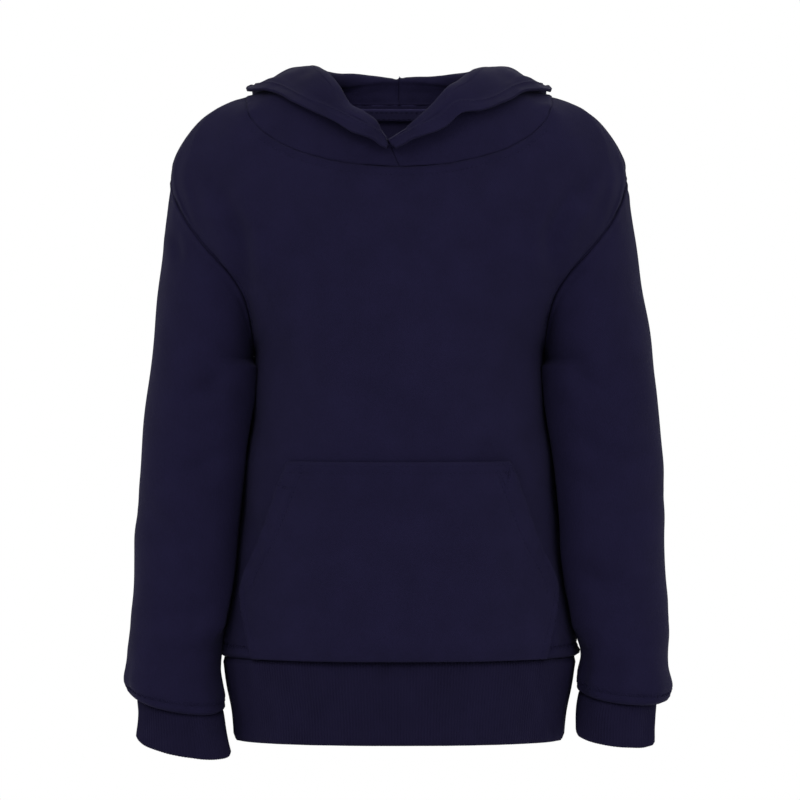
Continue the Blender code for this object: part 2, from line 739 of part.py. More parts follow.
def main():
    for old in list(bpy.data.objects):
        bpy.data.objects.remove(old)
    body_panel("front", -1)
    body_panel("back", 1)
    pocket()
    waistband()
    neck_tape()
    for side in ("left", "right"):
        sleeve(side)
        cuff(side)
        hood_half(side)


main()
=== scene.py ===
"""Looks of the toddler hoodie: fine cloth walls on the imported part's own shapes, with the folds, seam
rolls, stitching, rib knit and materials of a brushed-back sweatshirt.

Shapes are worked out in millimetres and become metres where the meshes are made. The wearer faces -Y.
"""

import math

import bpy
import numpy as np
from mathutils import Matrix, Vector


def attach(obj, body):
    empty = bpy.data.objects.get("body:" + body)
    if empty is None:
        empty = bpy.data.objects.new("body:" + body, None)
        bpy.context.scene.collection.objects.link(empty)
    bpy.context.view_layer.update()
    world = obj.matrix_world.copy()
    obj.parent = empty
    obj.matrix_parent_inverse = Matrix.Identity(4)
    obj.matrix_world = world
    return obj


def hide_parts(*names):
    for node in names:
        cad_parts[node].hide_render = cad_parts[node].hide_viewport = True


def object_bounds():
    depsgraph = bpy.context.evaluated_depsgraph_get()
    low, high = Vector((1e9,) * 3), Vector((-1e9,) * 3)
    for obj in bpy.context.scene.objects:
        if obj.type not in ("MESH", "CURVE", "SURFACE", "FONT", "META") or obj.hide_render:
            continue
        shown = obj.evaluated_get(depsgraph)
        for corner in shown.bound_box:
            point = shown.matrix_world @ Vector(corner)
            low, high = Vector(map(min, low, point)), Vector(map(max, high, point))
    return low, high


bl_info = {
    "name": "Toddler Hoodie",
    "version": (1, 0, 0),
    "blender": (4, 5, 0),
    "location": "3D View > Sidebar > Hoodie",
    "description": "Builds a toddler's pullover hoodie round its packed frame",
    "category": "Add Mesh",
}

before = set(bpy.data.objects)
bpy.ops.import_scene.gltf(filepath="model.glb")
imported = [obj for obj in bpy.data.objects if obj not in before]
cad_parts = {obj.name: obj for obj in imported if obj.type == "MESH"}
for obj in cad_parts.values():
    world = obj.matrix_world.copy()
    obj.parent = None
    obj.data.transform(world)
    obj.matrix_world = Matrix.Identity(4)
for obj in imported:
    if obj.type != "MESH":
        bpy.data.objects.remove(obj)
CAD_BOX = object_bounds()

MM = 0.001
WALL = 2.0  # brushed-back sweatshirt knit
RIB_WALL = 2.4  # folded rib
TAPE_WALL = 1.0
SEAM_GAP = 0.05  # closer than the solids, whose gap would show as a line
POCKET_GAP = 1.0
TAPE_GAP = 1.0
TAPE_START = 112.0  # the station of the neck where the tape starts

WAIST = -358.0  # height of the seam between body and waistband
UNDERARM = -168.0
SHOULDER_TIP = -56.0
NECK_SIDE = -3.0
NECK_HALF_WIDTH = 97.0
NECK_FRONT_DROP = 45.5
NECK_BACK_DROP = 4.0
SECTION_POWER = 2.3  # how square the body's sections are, 2 is an ellipse

BODY_COLUMNS = 12  # cells from the centre of a panel to its side
NECK_COLUMNS = 7  # those of them that end on the neck seam
HOOD_CELLS = (2, 2, 1, 1, 2, 2, 1, 1, 2, 2)  # between a section's points, from seam to hem
FOLD_CELL = 6
FRONT_FOLD = 3  # the section's point at the fold
FOLD_ROUND = 2.0  # half of the gap between the cloth's two layers at the fold
BAG_ROUND = 6.0  # half of the gap at the bottom of the hanging hood
SLEEVE_RINGS = (-182.0, -200.0, -227.0, -255.0, -285.0, -315.0, -340.0, -360.0)



class Table:
    """Rows of named columns, read between the rows on a smooth curve that never overshoots."""

    def __init__(self, names, rows):
        self.names = names.split()
        self.keys = [row[0] for row in rows]
        self.columns = {}
        for place, name in enumerate(self.names):
            values = [row[place] for row in rows]
            self.columns[name] = (values, self.slopes(values))

    def slopes(self, values):
        steps = [b - a for a, b in zip(self.keys, self.keys[1:])]
        rates = [(b - a) / step for a, b, step in zip(values, values[1:], steps)]
        inner = []
        for before, after in zip(rates, rates[1:]):
            same_way = before * after > 0.0
            inner.append(2.0 * before * after / (before + after) if same_way else 0.0)
        return [rates[0]] + inner + [rates[-1]]

    def at(self, key, name):
        values, slopes = self.columns[name]
        if key <= self.keys[0]:
            return values[0]
        if key >= self.keys[-1]:
            return values[-1]
        place = max(i for i, start in enumerate(self.keys) if start <= key)
        step = self.keys[place + 1] - self.keys[place]
        t = (key - self.keys[place]) / step
        rise = values[place + 1] - values[place]
        start, end = slopes[place] * step, slopes[place + 1] * step
        bend_in, bend_out = 3 * rise - 2 * start - end, start + end - 2 * rise
        return values[place] + t * start + t * t * bend_in + t**3 * bend_out


# The body's level sections. half_width ends on the side seam, then on the armhole, then on the
# shoulder seam. front_edge and back_edge are how far the armhole stands before and behind the
# shoulder line, and roundness is 0.5 where the section turns the corner like an ellipse.
BODY = Table(
    "height half_width front_edge back_edge front_depth back_depth roundness",
    (
        (-358.0, 111.8, 0.0, 0.0, 83.5, 81.0, 0.50),
        (-351.0, 113.0, 0.0, 0.0, 86.5, 83.5, 0.50),
        (-335.0, 110.0, 0.0, 0.0, 87.0, 84.0, 0.50),
        (-312.0, 105.6, 0.0, 0.0, 86.5, 83.0, 0.50),
        (-271.0, 101.3, 0.0, 0.0, 86.0, 81.0, 0.50),
        (-227.0, 97.3, 0.0, 0.0, 85.5, 79.5, 0.50),
        (-190.0, 91.6, 0.0, 0.0, 85.0, 79.5, 0.50),
        (-176.0, 90.7, 0.0, 0.0, 84.8, 80.0, 0.50),
        (-168.0, 92.0, 0.0, 0.0, 84.5, 80.0, 0.50),
        (-160.0, 92.4, 13.0, 12.0, 84.0, 80.0, 0.52),
        (-150.0, 93.2, 22.0, 20.0, 83.5, 79.8, 0.56),
        (-132.0, 97.0, 36.0, 32.0, 82.5, 79.5, 0.66),
        (-116.0, 106.0, 43.0, 38.0, 81.0, 79.0, 0.75),
        (-104.0, 117.5, 43.5, 39.0, 79.5, 78.5, 0.80),
        (-90.0, 129.0, 38.0, 35.0, 77.0, 77.0, 0.75),
        (-76.0, 138.0, 27.5, 26.0, 73.5, 75.0, 0.65),
        (-64.0, 143.0, 14.0, 13.5, 69.5, 72.0, 0.56),
        (-56.0, 144.6, 0.0, 0.0, 66.5, 70.0, 0.50),
        (-45.0, 143.0, 0.0, 0.0, 62.0, 66.5, 0.50),
        (-31.0, 136.0, 0.0, 0.0, 56.0, 62.0, 0.50),
        (-20.0, 127.5, 0.0, 0.0, 51.0, 58.0, 0.50),
        (-11.0, 116.5, 0.0, 0.0, 46.0, 54.5, 0.50),
        (-6.0, 106.0, 0.0, 0.0, 43.0, 52.0, 0.50),
        (-3.0, 97.0, 0.0, 0.0, 41.0, 50.0, 0.50),
    ),
)

# Rings of a hanging sleeve. outer and inner are its edges seen from in front, forward is how far
# its middle hangs before the shoulder line, and half_depth is half its size from front to back.
SLEEVE_NAMES = "height outer inner forward half_depth"
SLEEVES = {
    "right": Table(
        SLEEVE_NAMES,
        (
            (-386.0, 167.5, 112.5, 21.0, 30.0),
            (-379.0, 170.5, 111.8, 20.0, 32.0),
            (-362.0, 170.8, 112.6, 18.0, 33.0),
            (-321.0, 168.8, 108.8, 13.0, 33.0),
            (-271.0, 165.8, 104.0, 8.0, 34.0),
            (-227.0, 162.8, 99.2, 5.0, 35.5),
            (-200.0, 160.4, 95.8, 3.5, 37.5),
            (-182.0, 158.6, 94.4, 2.5, 39.0),
        ),
    ),
    "left": Table(
        SLEEVE_NAMES,
        (
            (-382.0, 168.0, 115.0, 14.0, 30.0),
            (-375.0, 171.0, 114.0, 13.5, 32.0),
            (-358.0, 171.0, 115.5, 12.0, 33.0),
            (-332.0, 170.0, 111.8, 10.0, 33.0),
            (-312.0, 169.5, 107.4, 9.0, 33.5),
            (-271.0, 168.0, 103.2, 7.0, 34.5),
            (-227.0, 166.8, 99.6, 5.0, 35.5),
            (-200.0, 164.8, 96.0, 3.5, 37.5),
            (-182.0, 163.2, 94.6, 2.5, 39.0),
        ),
    ),
}

# A cuff's rings, from its seam down. lift_out and lift_front tilt its seam and its mouth.
CUFF_NAMES = "drop outer inner forward half_depth"
CUFFS = {
    "right": Table(
        CUFF_NAMES,
        (
            (0.0, 165.0, 111.5, 21.5, 28.5),
            (12.0, 164.5, 109.5, 22.5, 28.0),
            (26.5, 165.5, 106.0, 24.5, 29.5),
        ),
    ),
    "left": Table(
        CUFF_NAMES,
        (
            (0.0, 163.0, 114.5, 14.5, 28.5),
            (12.0, 162.5, 112.5, 15.0, 28.0),
            (27.0, 162.0, 112.0, 17.0, 29.0),
        ),
    ),
}
CUFF_TILT = {"right": (0.17, -0.18), "left": (-0.11, -0.15)}  # rise towards the outside and the front

# The waistband's rings, from its seam down.
BAND = Table(
    "drop half_width front_depth back_depth",
    (
        (0.0, 111.8, 82.5, 80.0),
        (14.0, 109.8, 82.0, 79.5),
        (38.0, 105.5, 80.5, 78.0),
        (52.5, 104.5, 80.0, 77.5),
    ),
)

# The pocket, from the waist seam up.
POCKET = Table(
    "height half_width",
    ((-357.4, 92.0), (-319.0, 98.5), (-280.0, 85.0), (-237.0, 70.5), (-233.0, 69.0)),
)

POCKET_ROWS = (-357.4, -350, -337, -326, -316, -304, -292, -280, -266, -252, -238, -233)

# The hood, by stations round the neck from the front (0) to the middle of the back (180). Each
# names three lines that the cloth runs through: fold, where it turns over; bag, the bottom of what
# hangs; and hem, the edge of the face opening.
HOOD = Table(
    "station fold_x fold_y fold_z bag_x bag_y bag_z hem_x hem_y hem_z",
    (
        (8.5, 7.5, -64.4, -27.0, 9.5, -69.6, -28.5, 12.0, -71.2, -29.5),
        (15.0, 13.0, -62.6, -21.8, 16.4, -67.6, -25.9, 20.5, -71.0, -30.0),
        (37.0, 30.0, -53.0, -6.6, 35.0, -61.5, -14.0, 38.0, -63.5, -18.6),
        (60.0, 43.0, -34.0, 7.4, 55.0, -46.5, -6.0, 62.0, -49.5, -10.5),
        (75.0, 48.5, -18.0, 12.0, 67.0, -28.0, 2.2, 77.0, -31.5, -1.6),
        (90.0, 50.0, -2.0, 12.6, 79.0, -6.0, 7.2, 91.5, -8.0, 0.2),
        (97.0, 50.0, 6.0, 12.8, 85.0, 8.0, 4.0, 96.5, 6.0, 0.4),
        (108.0, 49.0, 17.0, 12.8, 90.0, 28.0, -4.5, 95.0, 27.0, 4.6),
        (128.0, 42.0, 37.0, 10.8, 86.0, 62.0, -46.0, 84.0, 59.0, 0.0),
        (152.0, 25.0, 55.0, 9.6, 50.0, 86.0, -102.0, 51.0, 87.0, -7.0),
        (180.0, 0.0, 62.5, 9.8, 0.0, 92.0, -127.0, 0.0, 99.0, -9.5),
    ),
)

# The front ends of the hood, where its halves meet: the cloth stands up, then turns outwards.
FRONT_END = Table(
    "station stand strip turn",
    (
        (0.0, 15.0, 4.8, 135.0),
        (4.0, 17.2, 6.4, 128.0),
        (8.5, 20.0, 8.6, 118.0),
    ),
)
FRONT_CLOSE = 0.42  # how much narrower the front stands at its fold than at the neck seam
LEAN = {"right": -1.0, "left": 1.0}  # the wearer's left side of the hood's front stands higher
LEAN_STATION = 36.0
MEET_SHIFT = -6.5  # at their fold the halves meet this far towards the wearer's right
MEET_SPREAD = 16.0  # degrees of the neck over which that shift fades
FRONT_START = 0.0  # station where each half ends

# Rows of a body panel: where each meets the panel's middle and its edge. The rows up to the
# underarm end on the side seam, and the others on the armhole. shaped is how far a row takes
# after the panel's top.
PANEL_ROWS = (
    # middle, edge, shaped
    (-358.0, -358.0, 0.0),
    (-350.0, -350.0, 0.0),
    (-337.0, -337.0, 0.0),
    (-316.0, -316.0, 0.0),
    (-280.0, -280.0, 0.0),
    (-238.0, -238.0, 0.02),
    (-205.0, -203.0, 0.07),
    (-176.0, -168.0, 0.15),
    (-152.0, -158.0, 0.24),
    (-130.0, -145.0, 0.35),
    (-110.0, -130.0, 0.46),
    (-92.0, -115.0, 0.58),
    (-77.0, -100.0, 0.70),
    (-65.5, -86.0, 0.81),
    (-56.5, -73.0, 0.91),
    (-51.0, -62.0, 0.975),
    (-48.5, -56.0, 1.0),
)
ARMHOLE_HEIGHTS = [edge for middle, edge, shaped in PANEL_ROWS if edge >= UNDERARM][::-1]
SLEEVE_SIDES = 2 * (len(ARMHOLE_HEIGHTS) - 1)
MIDDLE_TURN = -176.0  # above this the back's middle climbs to its higher neck
NECK_SHARE = NECK_COLUMNS / BODY_COLUMNS
EXTRA_STATIONS = [4.0, 8.5, 96.5, 109.5]  # more of the hood where it starts to turn over and to hang
NECK_STATIONS = [90.0 * column / NECK_COLUMNS for column in range(2 * NECK_COLUMNS + 1)]


def unit(vector):
    return vector.normalized()


def angle_power(value, power):
    return math.copysign(abs(value) ** power, value)


def ease(t):
    t = min(max(t, 0.0), 1.0)
    return t * t * (3.0 - 2.0 * t)


def body_depth(x, height, face):
    """How far the body stands before (face -1) or behind (face 1) the shoulder line."""
    half_width = BODY.at(height, "half_width")
    edge = BODY.at(height, "front_edge" if face < 0 else "back_edge")
    depth = BODY.at(height, "front_depth" if face < 0 else "back_depth")
    share = min(abs(x) / half_width, 1.0) ** SECTION_POWER
    return edge + (depth - edge) * max(1.0 - share, 0.0) ** BODY.at(height, "roundness")


def neck_point(station):
    """The neck seam at a station: 0 in front, 90 at the side, 180 behind."""
    front = station <= 90.0
    along = abs(station) / 90.0 if front else (180.0 - station) / 90.0
    turn = math.radians(90.0) * (1.0 - (1.0 - min(along, 1.0)) ** 1.25)
    drop = NECK_FRONT_DROP * math.cos(turn) ** 0.9 if front else NECK_BACK_DROP * math.cos(turn) ** 1.2
    x = math.copysign(NECK_HALF_WIDTH * math.sin(turn), station)
    height = NECK_SIDE - drop
    face = -1 if front else 1
    return Vector((x, face * body_depth(x, height, face), height))


def shoulder_height(along):
    """Height of the shoulder seam, from the neck (0) to its tip (1)."""
    return NECK_SIDE + (SHOULDER_TIP - NECK_SIDE) * along**1.6


def panel_point(across, row, face):
    """A panel's point: across runs from side to side (-1 to 1), up its rows."""
    middle, edge, shaped = row
    side = abs(across)
    top = neck_point(0.0).z if face < 0 else neck_point(180.0).z
    if middle > MIDDLE_TURN:
        climb = (top - MIDDLE_TURN) / (neck_point(0.0).z - MIDDLE_TURN)
        middle = MIDDLE_TURN + (middle - MIDDLE_TURN) * climb
    if side <= NECK_SHARE:
        station = 90.0 * side / NECK_SHARE
        rim = neck_point(station if face < 0 else 180.0 - station)
        rim_x, rim_height = abs(rim.x), rim.z
    else:
        rim_height = shoulder_height((side - NECK_SHARE) / (1.0 - NECK_SHARE))
        rim_x = BODY.at(rim_height, "half_width")
    rise = rim_height - (top + (SHOULDER_TIP - top) * side)
    height = middle + (edge - middle) * side + shaped * rise
    even = 0.8 * min(2.5 * shaped, 1.0)
    share = (1.0 - even) * math.sin(math.radians(90.0) * side) + even * side
    share += shaped * (rim_x / BODY.at(rim_height, "half_width") - share)
    x = math.copysign(share * BODY.at(height, "half_width"), across)
    return Vector((x, face * max(body_depth(x, height, face), SEAM_GAP / 2.0), height))


def grid_normals(points, closed=False, way=1.0):
    """Outward directions of a grid, from the points beside each one."""
    rows, columns = len(points), len(points[0])
    normals = []
    for j in range(rows):
        line = []
        for i in range(columns):
            if closed:
                before, after = points[j][i - 1], points[j][(i + 1) % columns]
            else:
                before, after = points[j][max(i - 1, 0)], points[j][min(i + 1, columns - 1)]
            below, above = points[max(j - 1, 0)][i], points[min(j + 1, rows - 1)][i]
            line.append(unit((after - before).cross(above - below)) * way)
        normals.append(line)
    return normals


def armhole_point(height, face):
    return Vector((BODY.at(height, "half_width"), face * edge_depth(height, face), height))


def armhole_frame(height, face):
    """The armhole at a height: point, direction out of the cloth's outside face, and direction
    from the body to the sleeve."""
    slant = math.radians(25.0) * (height - UNDERARM) / (SHOULDER_TIP - UNDERARM)
    onward = Vector((math.cos(slant), 0.0, -math.sin(slant)))
    if height >= SHOULDER_TIP:
        along = Vector((0.0, face, 0.0))
    elif height <= UNDERARM:
        along = Vector((0.0, -face, 0.0))
    else:
        along = armhole_point(height - 0.5, face) - armhole_point(height + 0.5, face)
    return armhole_point(height, face), unit(onward.cross(along)) * face, onward


def edge_depth(height, face):
    return max(BODY.at(height, "front_edge" if face < 0 else "back_edge"), SEAM_GAP / 2.0)


def neck_frame(station):
    """The neck seam: point, outward direction shared by body and hood, direction from body to hood."""
    step = 1.0
    before, after = neck_point(station - step), neck_point(station + step)
    point = neck_point(station)
    along = unit(after - before)
    if abs(station - 90.0) < 1.5:
        along = Vector((0.0, 1.0, 0.0))
    if station < step or station > 180.0 - step:
        along = Vector((1.0 if station < step else -1.0, 0.0, 0.0))
    x, height = abs(point.x), point.z
    face = -1 if station <= 90.0 else 1
    lower = height - 6.0
    body_rise = unit(point - Vector((point.x, face * body_depth(x, lower, face), lower)))
    stand = Vector((0.0, 0.0, 1.0))
    if station > MEET_SPREAD:
        stand = unit(hood_line(station, "fold", "left") - point)
    onward = unit(body_rise + stand)
    outward = unit(along.cross(onward))
    onward = unit(outward.cross(along))
    return point, outward, onward


def body_panel(face):
    """Front or back: side seams, armholes, shoulder seams and its half of the neck."""
    across = [i / BODY_COLUMNS for i in range(-BODY_COLUMNS, BODY_COLUMNS + 1)]
    if face > 0:
        across = across[::-1]
    points = [[panel_point(s, row, face) for s in across] for row in PANEL_ROWS]
    normals = grid_normals(points)
    top = len(PANEL_ROWS) - 1
    for j, row in enumerate(PANEL_ROWS):
        for i, s in enumerate(across):
            normal = normals[j][i]
            shared = None
            if j == 0:
                normal.z = 0.0
            on_side_seam = abs(s) == 1.0 and row[1] < UNDERARM
            if on_side_seam or j == top and abs(s) >= NECK_SHARE:
                normal.y = 0.0
            if abs(s) == 1.0 and row[1] >= UNDERARM:
                shared = armhole_frame(row[1], face)[1]
            if j == top and abs(s) < NECK_SHARE:
                station = 90.0 * abs(s) / NECK_SHARE
                shared = neck_frame(station if face < 0 else 180.0 - station)[1]
            if shared:
                normals[j][i] = Vector((math.copysign(1.0, s) * shared.x, shared.y, shared.z))
            normals[j][i].normalize()
    return points, normals


def mirrored(point, side):
    return Vector((-point.x, point.y, point.z)) if side == "right" else point


def cuff_plane(side, x, y):
    """Height of the slanted seam between sleeve and cuff."""
    table = SLEEVES[side]
    middle = (table.columns["outer"][0][0] + table.columns["inner"][0][0]) / 2.0
    rise_out, rise_front = CUFF_TILT[side]
    return table.keys[0] + rise_out * (x - middle) - rise_front * (y + table.columns["forward"][0][0])


def in_plane(normal, side):
    """Lays a direction along the slanted cuff seam."""
    rise_out, rise_front = CUFF_TILT[side]
    normal.z = rise_out * normal.x - rise_front * normal.y
    normal.normalize()


def ring(table, key, side, tilt, drop):
    """A ring of a sleeve or a cuff. It runs from the outer side over the front."""
    outer, inner = table.at(key, "outer"), table.at(key, "inner")
    forward, half_depth = table.at(key, "forward"), table.at(key, "half_depth")
    points = []
    for i in range(SLEEVE_SIDES):
        turn = 2.0 * math.pi * i / SLEEVE_SIDES
        x = (outer + inner) / 2.0 + (outer - inner) / 2.0 * angle_power(math.cos(turn), 0.92)
        y = -forward - half_depth * angle_power(math.sin(turn), 0.92)
        level = SLEEVES[side].keys[0]
        points.append(Vector((x, y, level + drop + tilt * (cuff_plane(side, x, y) - level))))
    return points


def sleeve(side):
    table = SLEEVES[side]
    bottom, top = table.keys[0], table.keys[-1]
    loop, loop_normals = [], []
    for i in range(SLEEVE_SIDES):
        face = -1 if i <= SLEEVE_SIDES / 2 else 1
        height = ARMHOLE_HEIGHTS[min(i, SLEEVE_SIDES - i)]
        point, outward, onward = armhole_frame(height, face)
        if height in (SHOULDER_TIP, UNDERARM):
            point.y = 0.0
        loop.append(point + onward * SEAM_GAP)
        loop_normals.append(outward)
    rings = []
    for height in SLEEVE_RINGS + (table.keys[1], bottom):
        tilt = ease((top - height) / (top - bottom))
        rings.append(ring(table, height, side, tilt, height - bottom))
    between = [[a.lerp(b, share) for a, b in zip(loop, rings[0])] for share in (0.35, 0.7)]
    points = ([loop] + between + rings)[::-1]
    normals = grid_normals(points, closed=True, way=-1.0)
    normals[-1] = loop_normals
    for normal in normals[0]:
        in_plane(normal, side)
    return finish_tube(points, normals, side)


def finish_tube(points, normals, side):
    """Makes a ring-by-ring tube, turned over for the wearer's right."""
    points = [[mirrored(p, side) for p in line] for line in points]
    normals = [[mirrored(n, side) for n in line] for line in normals]
    if side == "left":
        points = [line[::-1] for line in points]
        normals = [line[::-1] for line in normals]
    return points, normals


def cuff(side):
    table = CUFFS[side]
    points = [ring(table, drop, side, 1.0, -drop) for drop in (table.keys[-1], table.keys[1], SEAM_GAP)]
    normals = grid_normals(points, closed=True, way=-1.0)
    for line in normals:
        for normal in line:
            in_plane(normal, side)
    return finish_tube(points, normals, side)


def waistband():
    sides = 4 * BODY_COLUMNS
    points = []
    for drop in (52.5, 36.0, 18.0, SEAM_GAP):
        half_width = BAND.at(drop, "half_width")
        line = []
        for i in range(sides):
            turn = 2.0 * math.pi * i / sides
            depth = BAND.at(drop, "front_depth" if math.cos(turn) > 0 else "back_depth")
            x = half_width * angle_power(math.sin(turn), 2.0 / SECTION_POWER)
            y = -depth * angle_power(math.cos(turn), 2.0 / SECTION_POWER)
            line.append(Vector((x, y, WAIST - drop)))
        points.append(line)
    normals = grid_normals(points, closed=True)
    for line in normals:
        for normal in line:
            normal.z = 0.0
            normal.normalize()
    return points, normals


def pocket():
    columns = 14
    points = []
    for height in POCKET_ROWS:
        reach = math.asin(POCKET.at(height, "half_width") / BODY.at(height, "half_width"))
        line = []
        for i in range(columns + 1):
            x = BODY.at(height, "half_width") * math.sin(reach * (2.0 * i / columns - 1.0))
            line.append(Vector((x, -body_depth(x, height, -1), height)))
        points.append(line)
    normals = grid_normals(points)
    for normal in normals[0]:
        normal.z = 0.0
        normal.normalize()
    raised = WALL + POCKET_GAP
    points = [[p + n * raised for p, n in zip(line, sides)] for line, sides in zip(points, normals)]
    return points, normals


def neck_tape():
    """A strip inside the back, just under the neck seam."""
    columns, width = 18, 8.0
    points, normals = [], []
    for drop in (width + 1.2, 1.2):
        line, directions = [], []
        for i in range(columns + 1):
            station = TAPE_START + (360.0 - 2.0 * TAPE_START) * i / columns
            mirror = 1.0 if station <= 180.0 else -1.0
            seam = neck_point(min(station, 360.0 - station))
            height = seam.z - drop
            x = seam.x * mirror
            base = Vector((x, body_depth(seam.x, height, 1), height))
            slope_x = body_depth(seam.x + 1.0, height, 1) - body_depth(seam.x - 1.0, height, 1)
            slope_z = body_depth(seam.x, height + 1.0, 1) - body_depth(seam.x, height - 1.0, 1)
            outward = unit(Vector((-slope_x / 2.0 * mirror, 1.0, -slope_z / 2.0)))
            directions.append(outward)
            line.append(base - outward * (WALL + TAPE_GAP))
        points.append(line)
        normals.append(directions)
    return points, normals


def hood_line(station, line, side):
    """A point of the fold, bag or hem line, as if for the wearer's left."""
    point = Vector([HOOD.at(station, line + axis) for axis in ("_x", "_y", "_z")])
    point.x += meet_shift(station, side)
    lean = {"fold": 5.5, "bag": 4.0, "hem": 3.0}[line]
    point.z += LEAN[side] * lean * math.exp(-(((station - LEAN_STATION) / 12.0) ** 2))
    return point


def meet_shift(station, side):
    shift = MEET_SHIFT * math.exp(-((station / MEET_SPREAD) ** 2))
    return shift if side == "left" else -shift


def clear_of_back(point):
    """Moves what hangs behind the shoulders out of the back panel."""
    room = 3.0
    x, height = abs(point.x), point.z
    if point.y <= 0.0 or height > NECK_SIDE or x >= BODY.at(height, "half_width") + room:
        return point
    short = body_depth(x, height, 1) + room - point.y
    if short <= 0.0:
        return point
    rise = body_depth(x, height + 1.0, 1) - body_depth(x, height - 1.0, 1)
    spread = body_depth(x + 1.0, height, 1) - body_depth(max(x - 1.0, 0.0), height, 1)
    outward = unit(Vector((-spread / 2.0 * math.copysign(1.0, point.x), 1.0, -rise / 2.0)))
    return point + outward * short * outward.y


def bend(points, cells):
    """A smooth curve through points, with a number of cells for each span."""
    ends = [points[0] * 2.0 - points[1]] + points + [points[-1] * 2.0 - points[-2]]
    line = [points[0]]
    for place, count in enumerate(cells):
        p = ends[place : place + 4]
        knots = [0.0]
        for a, b in zip(p, p[1:]):
            knots.append(knots[-1] + math.sqrt(max((b - a).length, 0.01)))
        for k in range(1, count + 1):
            at = knots[1] + (knots[2] - knots[1]) * k / count
            level = p
            for width in (1, 2):
                level = [
                    level[i].lerp(level[i + 1], (at - knots[i]) / (knots[i + width] - knots[i]))
                    for i in range(len(level) - 1)
                ]
            line.append(level[0].lerp(level[1], (at - knots[1]) / (knots[2] - knots[1])))
    return line


def seam_frame(station):
    """The neck seam between the body's own points, which the hood's edge has to follow."""
    step = NECK_STATIONS[1]
    low = min(int(station / step), len(NECK_STATIONS) - 2)
    frames = neck_frame(NECK_STATIONS[low]), neck_frame(NECK_STATIONS[low + 1])
    return [a.lerp(b, station / step - low) for a, b in zip(*frames)]


def front_section(station, side, start):
    """The cloth's outside face where the fronts meet, from the neck seam to the hem."""
    stand, strip = FRONT_END.at(station, "stand"), FRONT_END.at(station, "strip")
    turn = math.radians(FRONT_END.at(station, "turn"))
    across, out = Vector((1.0, 0.0, 0.0)), Vector((0.0, -1.0, 0.0))
    path = [(0.0, 0.0), (stand / 2.0, -FOLD_ROUND / 2.0)]
    for share in (0.0, 0.5, 1.0):
        angle = turn * share
        path.append((stand + FOLD_ROUND * (math.sin(angle) - 1.0), -FOLD_ROUND * math.cos(angle)))
    up, forward = path[-1]
    for share in (0.2, 0.4, 0.52, 0.64, 0.82, 1.0):
        path.append((up + strip * share * math.cos(turn), forward + strip * share * math.sin(turn)))
    points = []
    for k, (rise, forward) in enumerate(path):
        spread = 4.0 * max(k - FRONT_FOLD, 0) / (len(path) - 1 - FRONT_FOLD) * math.sin(turn)
        lean = meet_shift(station, side) - (1.0 - FRONT_CLOSE) * start.x
        aside = lean * min(rise / stand, 1.0) + spread
        points.append(start + across * aside + out * forward + Vector((0.0, 0.0, rise)))
    return points


def hood_section(station, side):
    """The cloth's outside face from the neck seam, over the fold and out to the hem."""
    start, outward, onward = seam_frame(station)
    start = start + onward * SEAM_GAP
    if station <= FRONT_END.keys[-1]:
        return bend(front_section(station, side, start), HOOD_CELLS), outward
    fold, bag, hem = (hood_line(station, line, side) for line in ("fold", "bag", "hem"))
    away = unit(Vector((start.x, start.y, 0.0)))
    rise = unit(fold - start)
    out = unit(outward - rise * outward.dot(rise))
    hang = ease((station - 92.0) / 14.0)
    pouch = ease((station - 108.0) / 20.0)
    bag_round = BAG_ROUND * hang * (0.5 + 0.5 * pouch)
    before = fold - (rise + out) * FOLD_ROUND
    after = fold + (out - rise) * FOLD_ROUND
    stand = start.lerp(before, 0.5) + out * 1.0
    down = unit(bag - after)
    slack = 0.08 * (bag - after).length * (1.0 - hang)
    lie = after.lerp(bag, 0.5 - 0.15 * (1.0 - hang)) + out * slack + Vector((0.0, 0.0, 7.0 * hang))
    beside = down * min(2.0, 0.3 * (bag - after).length) * (1.0 - hang)
    turn_in = bag - beside + (Vector((0.0, 0.0, 1.0)) - away) * bag_round
    turn_out = bag + beside + (Vector((0.0, 0.0, 1.0)) + away) * bag_round
    up = turn_out.lerp(hem, 0.5) + away * 4.0 * pouch
    path = [start, stand, before, fold, after, lie, turn_in, bag, turn_out, up, hem]
    section = bend(path, HOOD_CELLS)
    return [p if k <= FOLD_CELL else clear_of_back(p) for k, p in enumerate(section)], outward


def hood_half(side):
    stations = [FRONT_START] + sorted(NECK_STATIONS[1:] + EXTRA_STATIONS)
    points, edge_normals = [], []
    for station in stations:
        section, outward = hood_section(station, side)
        points.append(section)
        edge_normals.append(outward)
    for point in points[-1]:
        point.x = 0.0
    points = [list(line) for line in zip(*points)]
    normals = grid_normals(points)
    if normals[0][2].dot(edge_normals[2]) < 0.0:
        normals = [[-n for n in line] for line in normals]
    normals[0] = edge_normals
    meeting = unit(Vector((FRONT_END.at(0.0, "stand"), 0.0, -meet_shift(0.0, side))))
    for line in normals:
        line[0] = unit(line[0] - meeting * line[0].dot(meeting))
        line[-1].x = 0.0
        line[-1].normalize()
    points = [[mirrored(p, side) for p in line] for line in points]
    normals = [[mirrored(n, side) for n in line] for line in normals]
    if side == "right":
        points = [line[::-1] for line in points]
        normals = [line[::-1] for line in normals]
    return points, normals


# ---------------------------------------------------------------- fine cloth

FINE_PANEL = (170, 190)  # rows and columns of the fine grids
FINE_SLEEVE = (170, 122)
FINE_HOOD = (96, 190)
FINE_POCKET = (90, 130)
FINE_TAPE = (12, 150)
RIB_SAMPLES = 6  # columns for each rib
RIB_ROWS = 16


def tangents(values, knots):
    """Slopes of a smooth curve through rows of values that stand at knots."""
    step = np.diff(knots)[:, None]
    rate = np.diff(values, axis=0) / step
    inner = (rate[:-1] * step[1:] + rate[1:] * step[:-1]) / (step[1:] + step[:-1])
    return np.concatenate([rate[:1], inner, rate[-1:]])


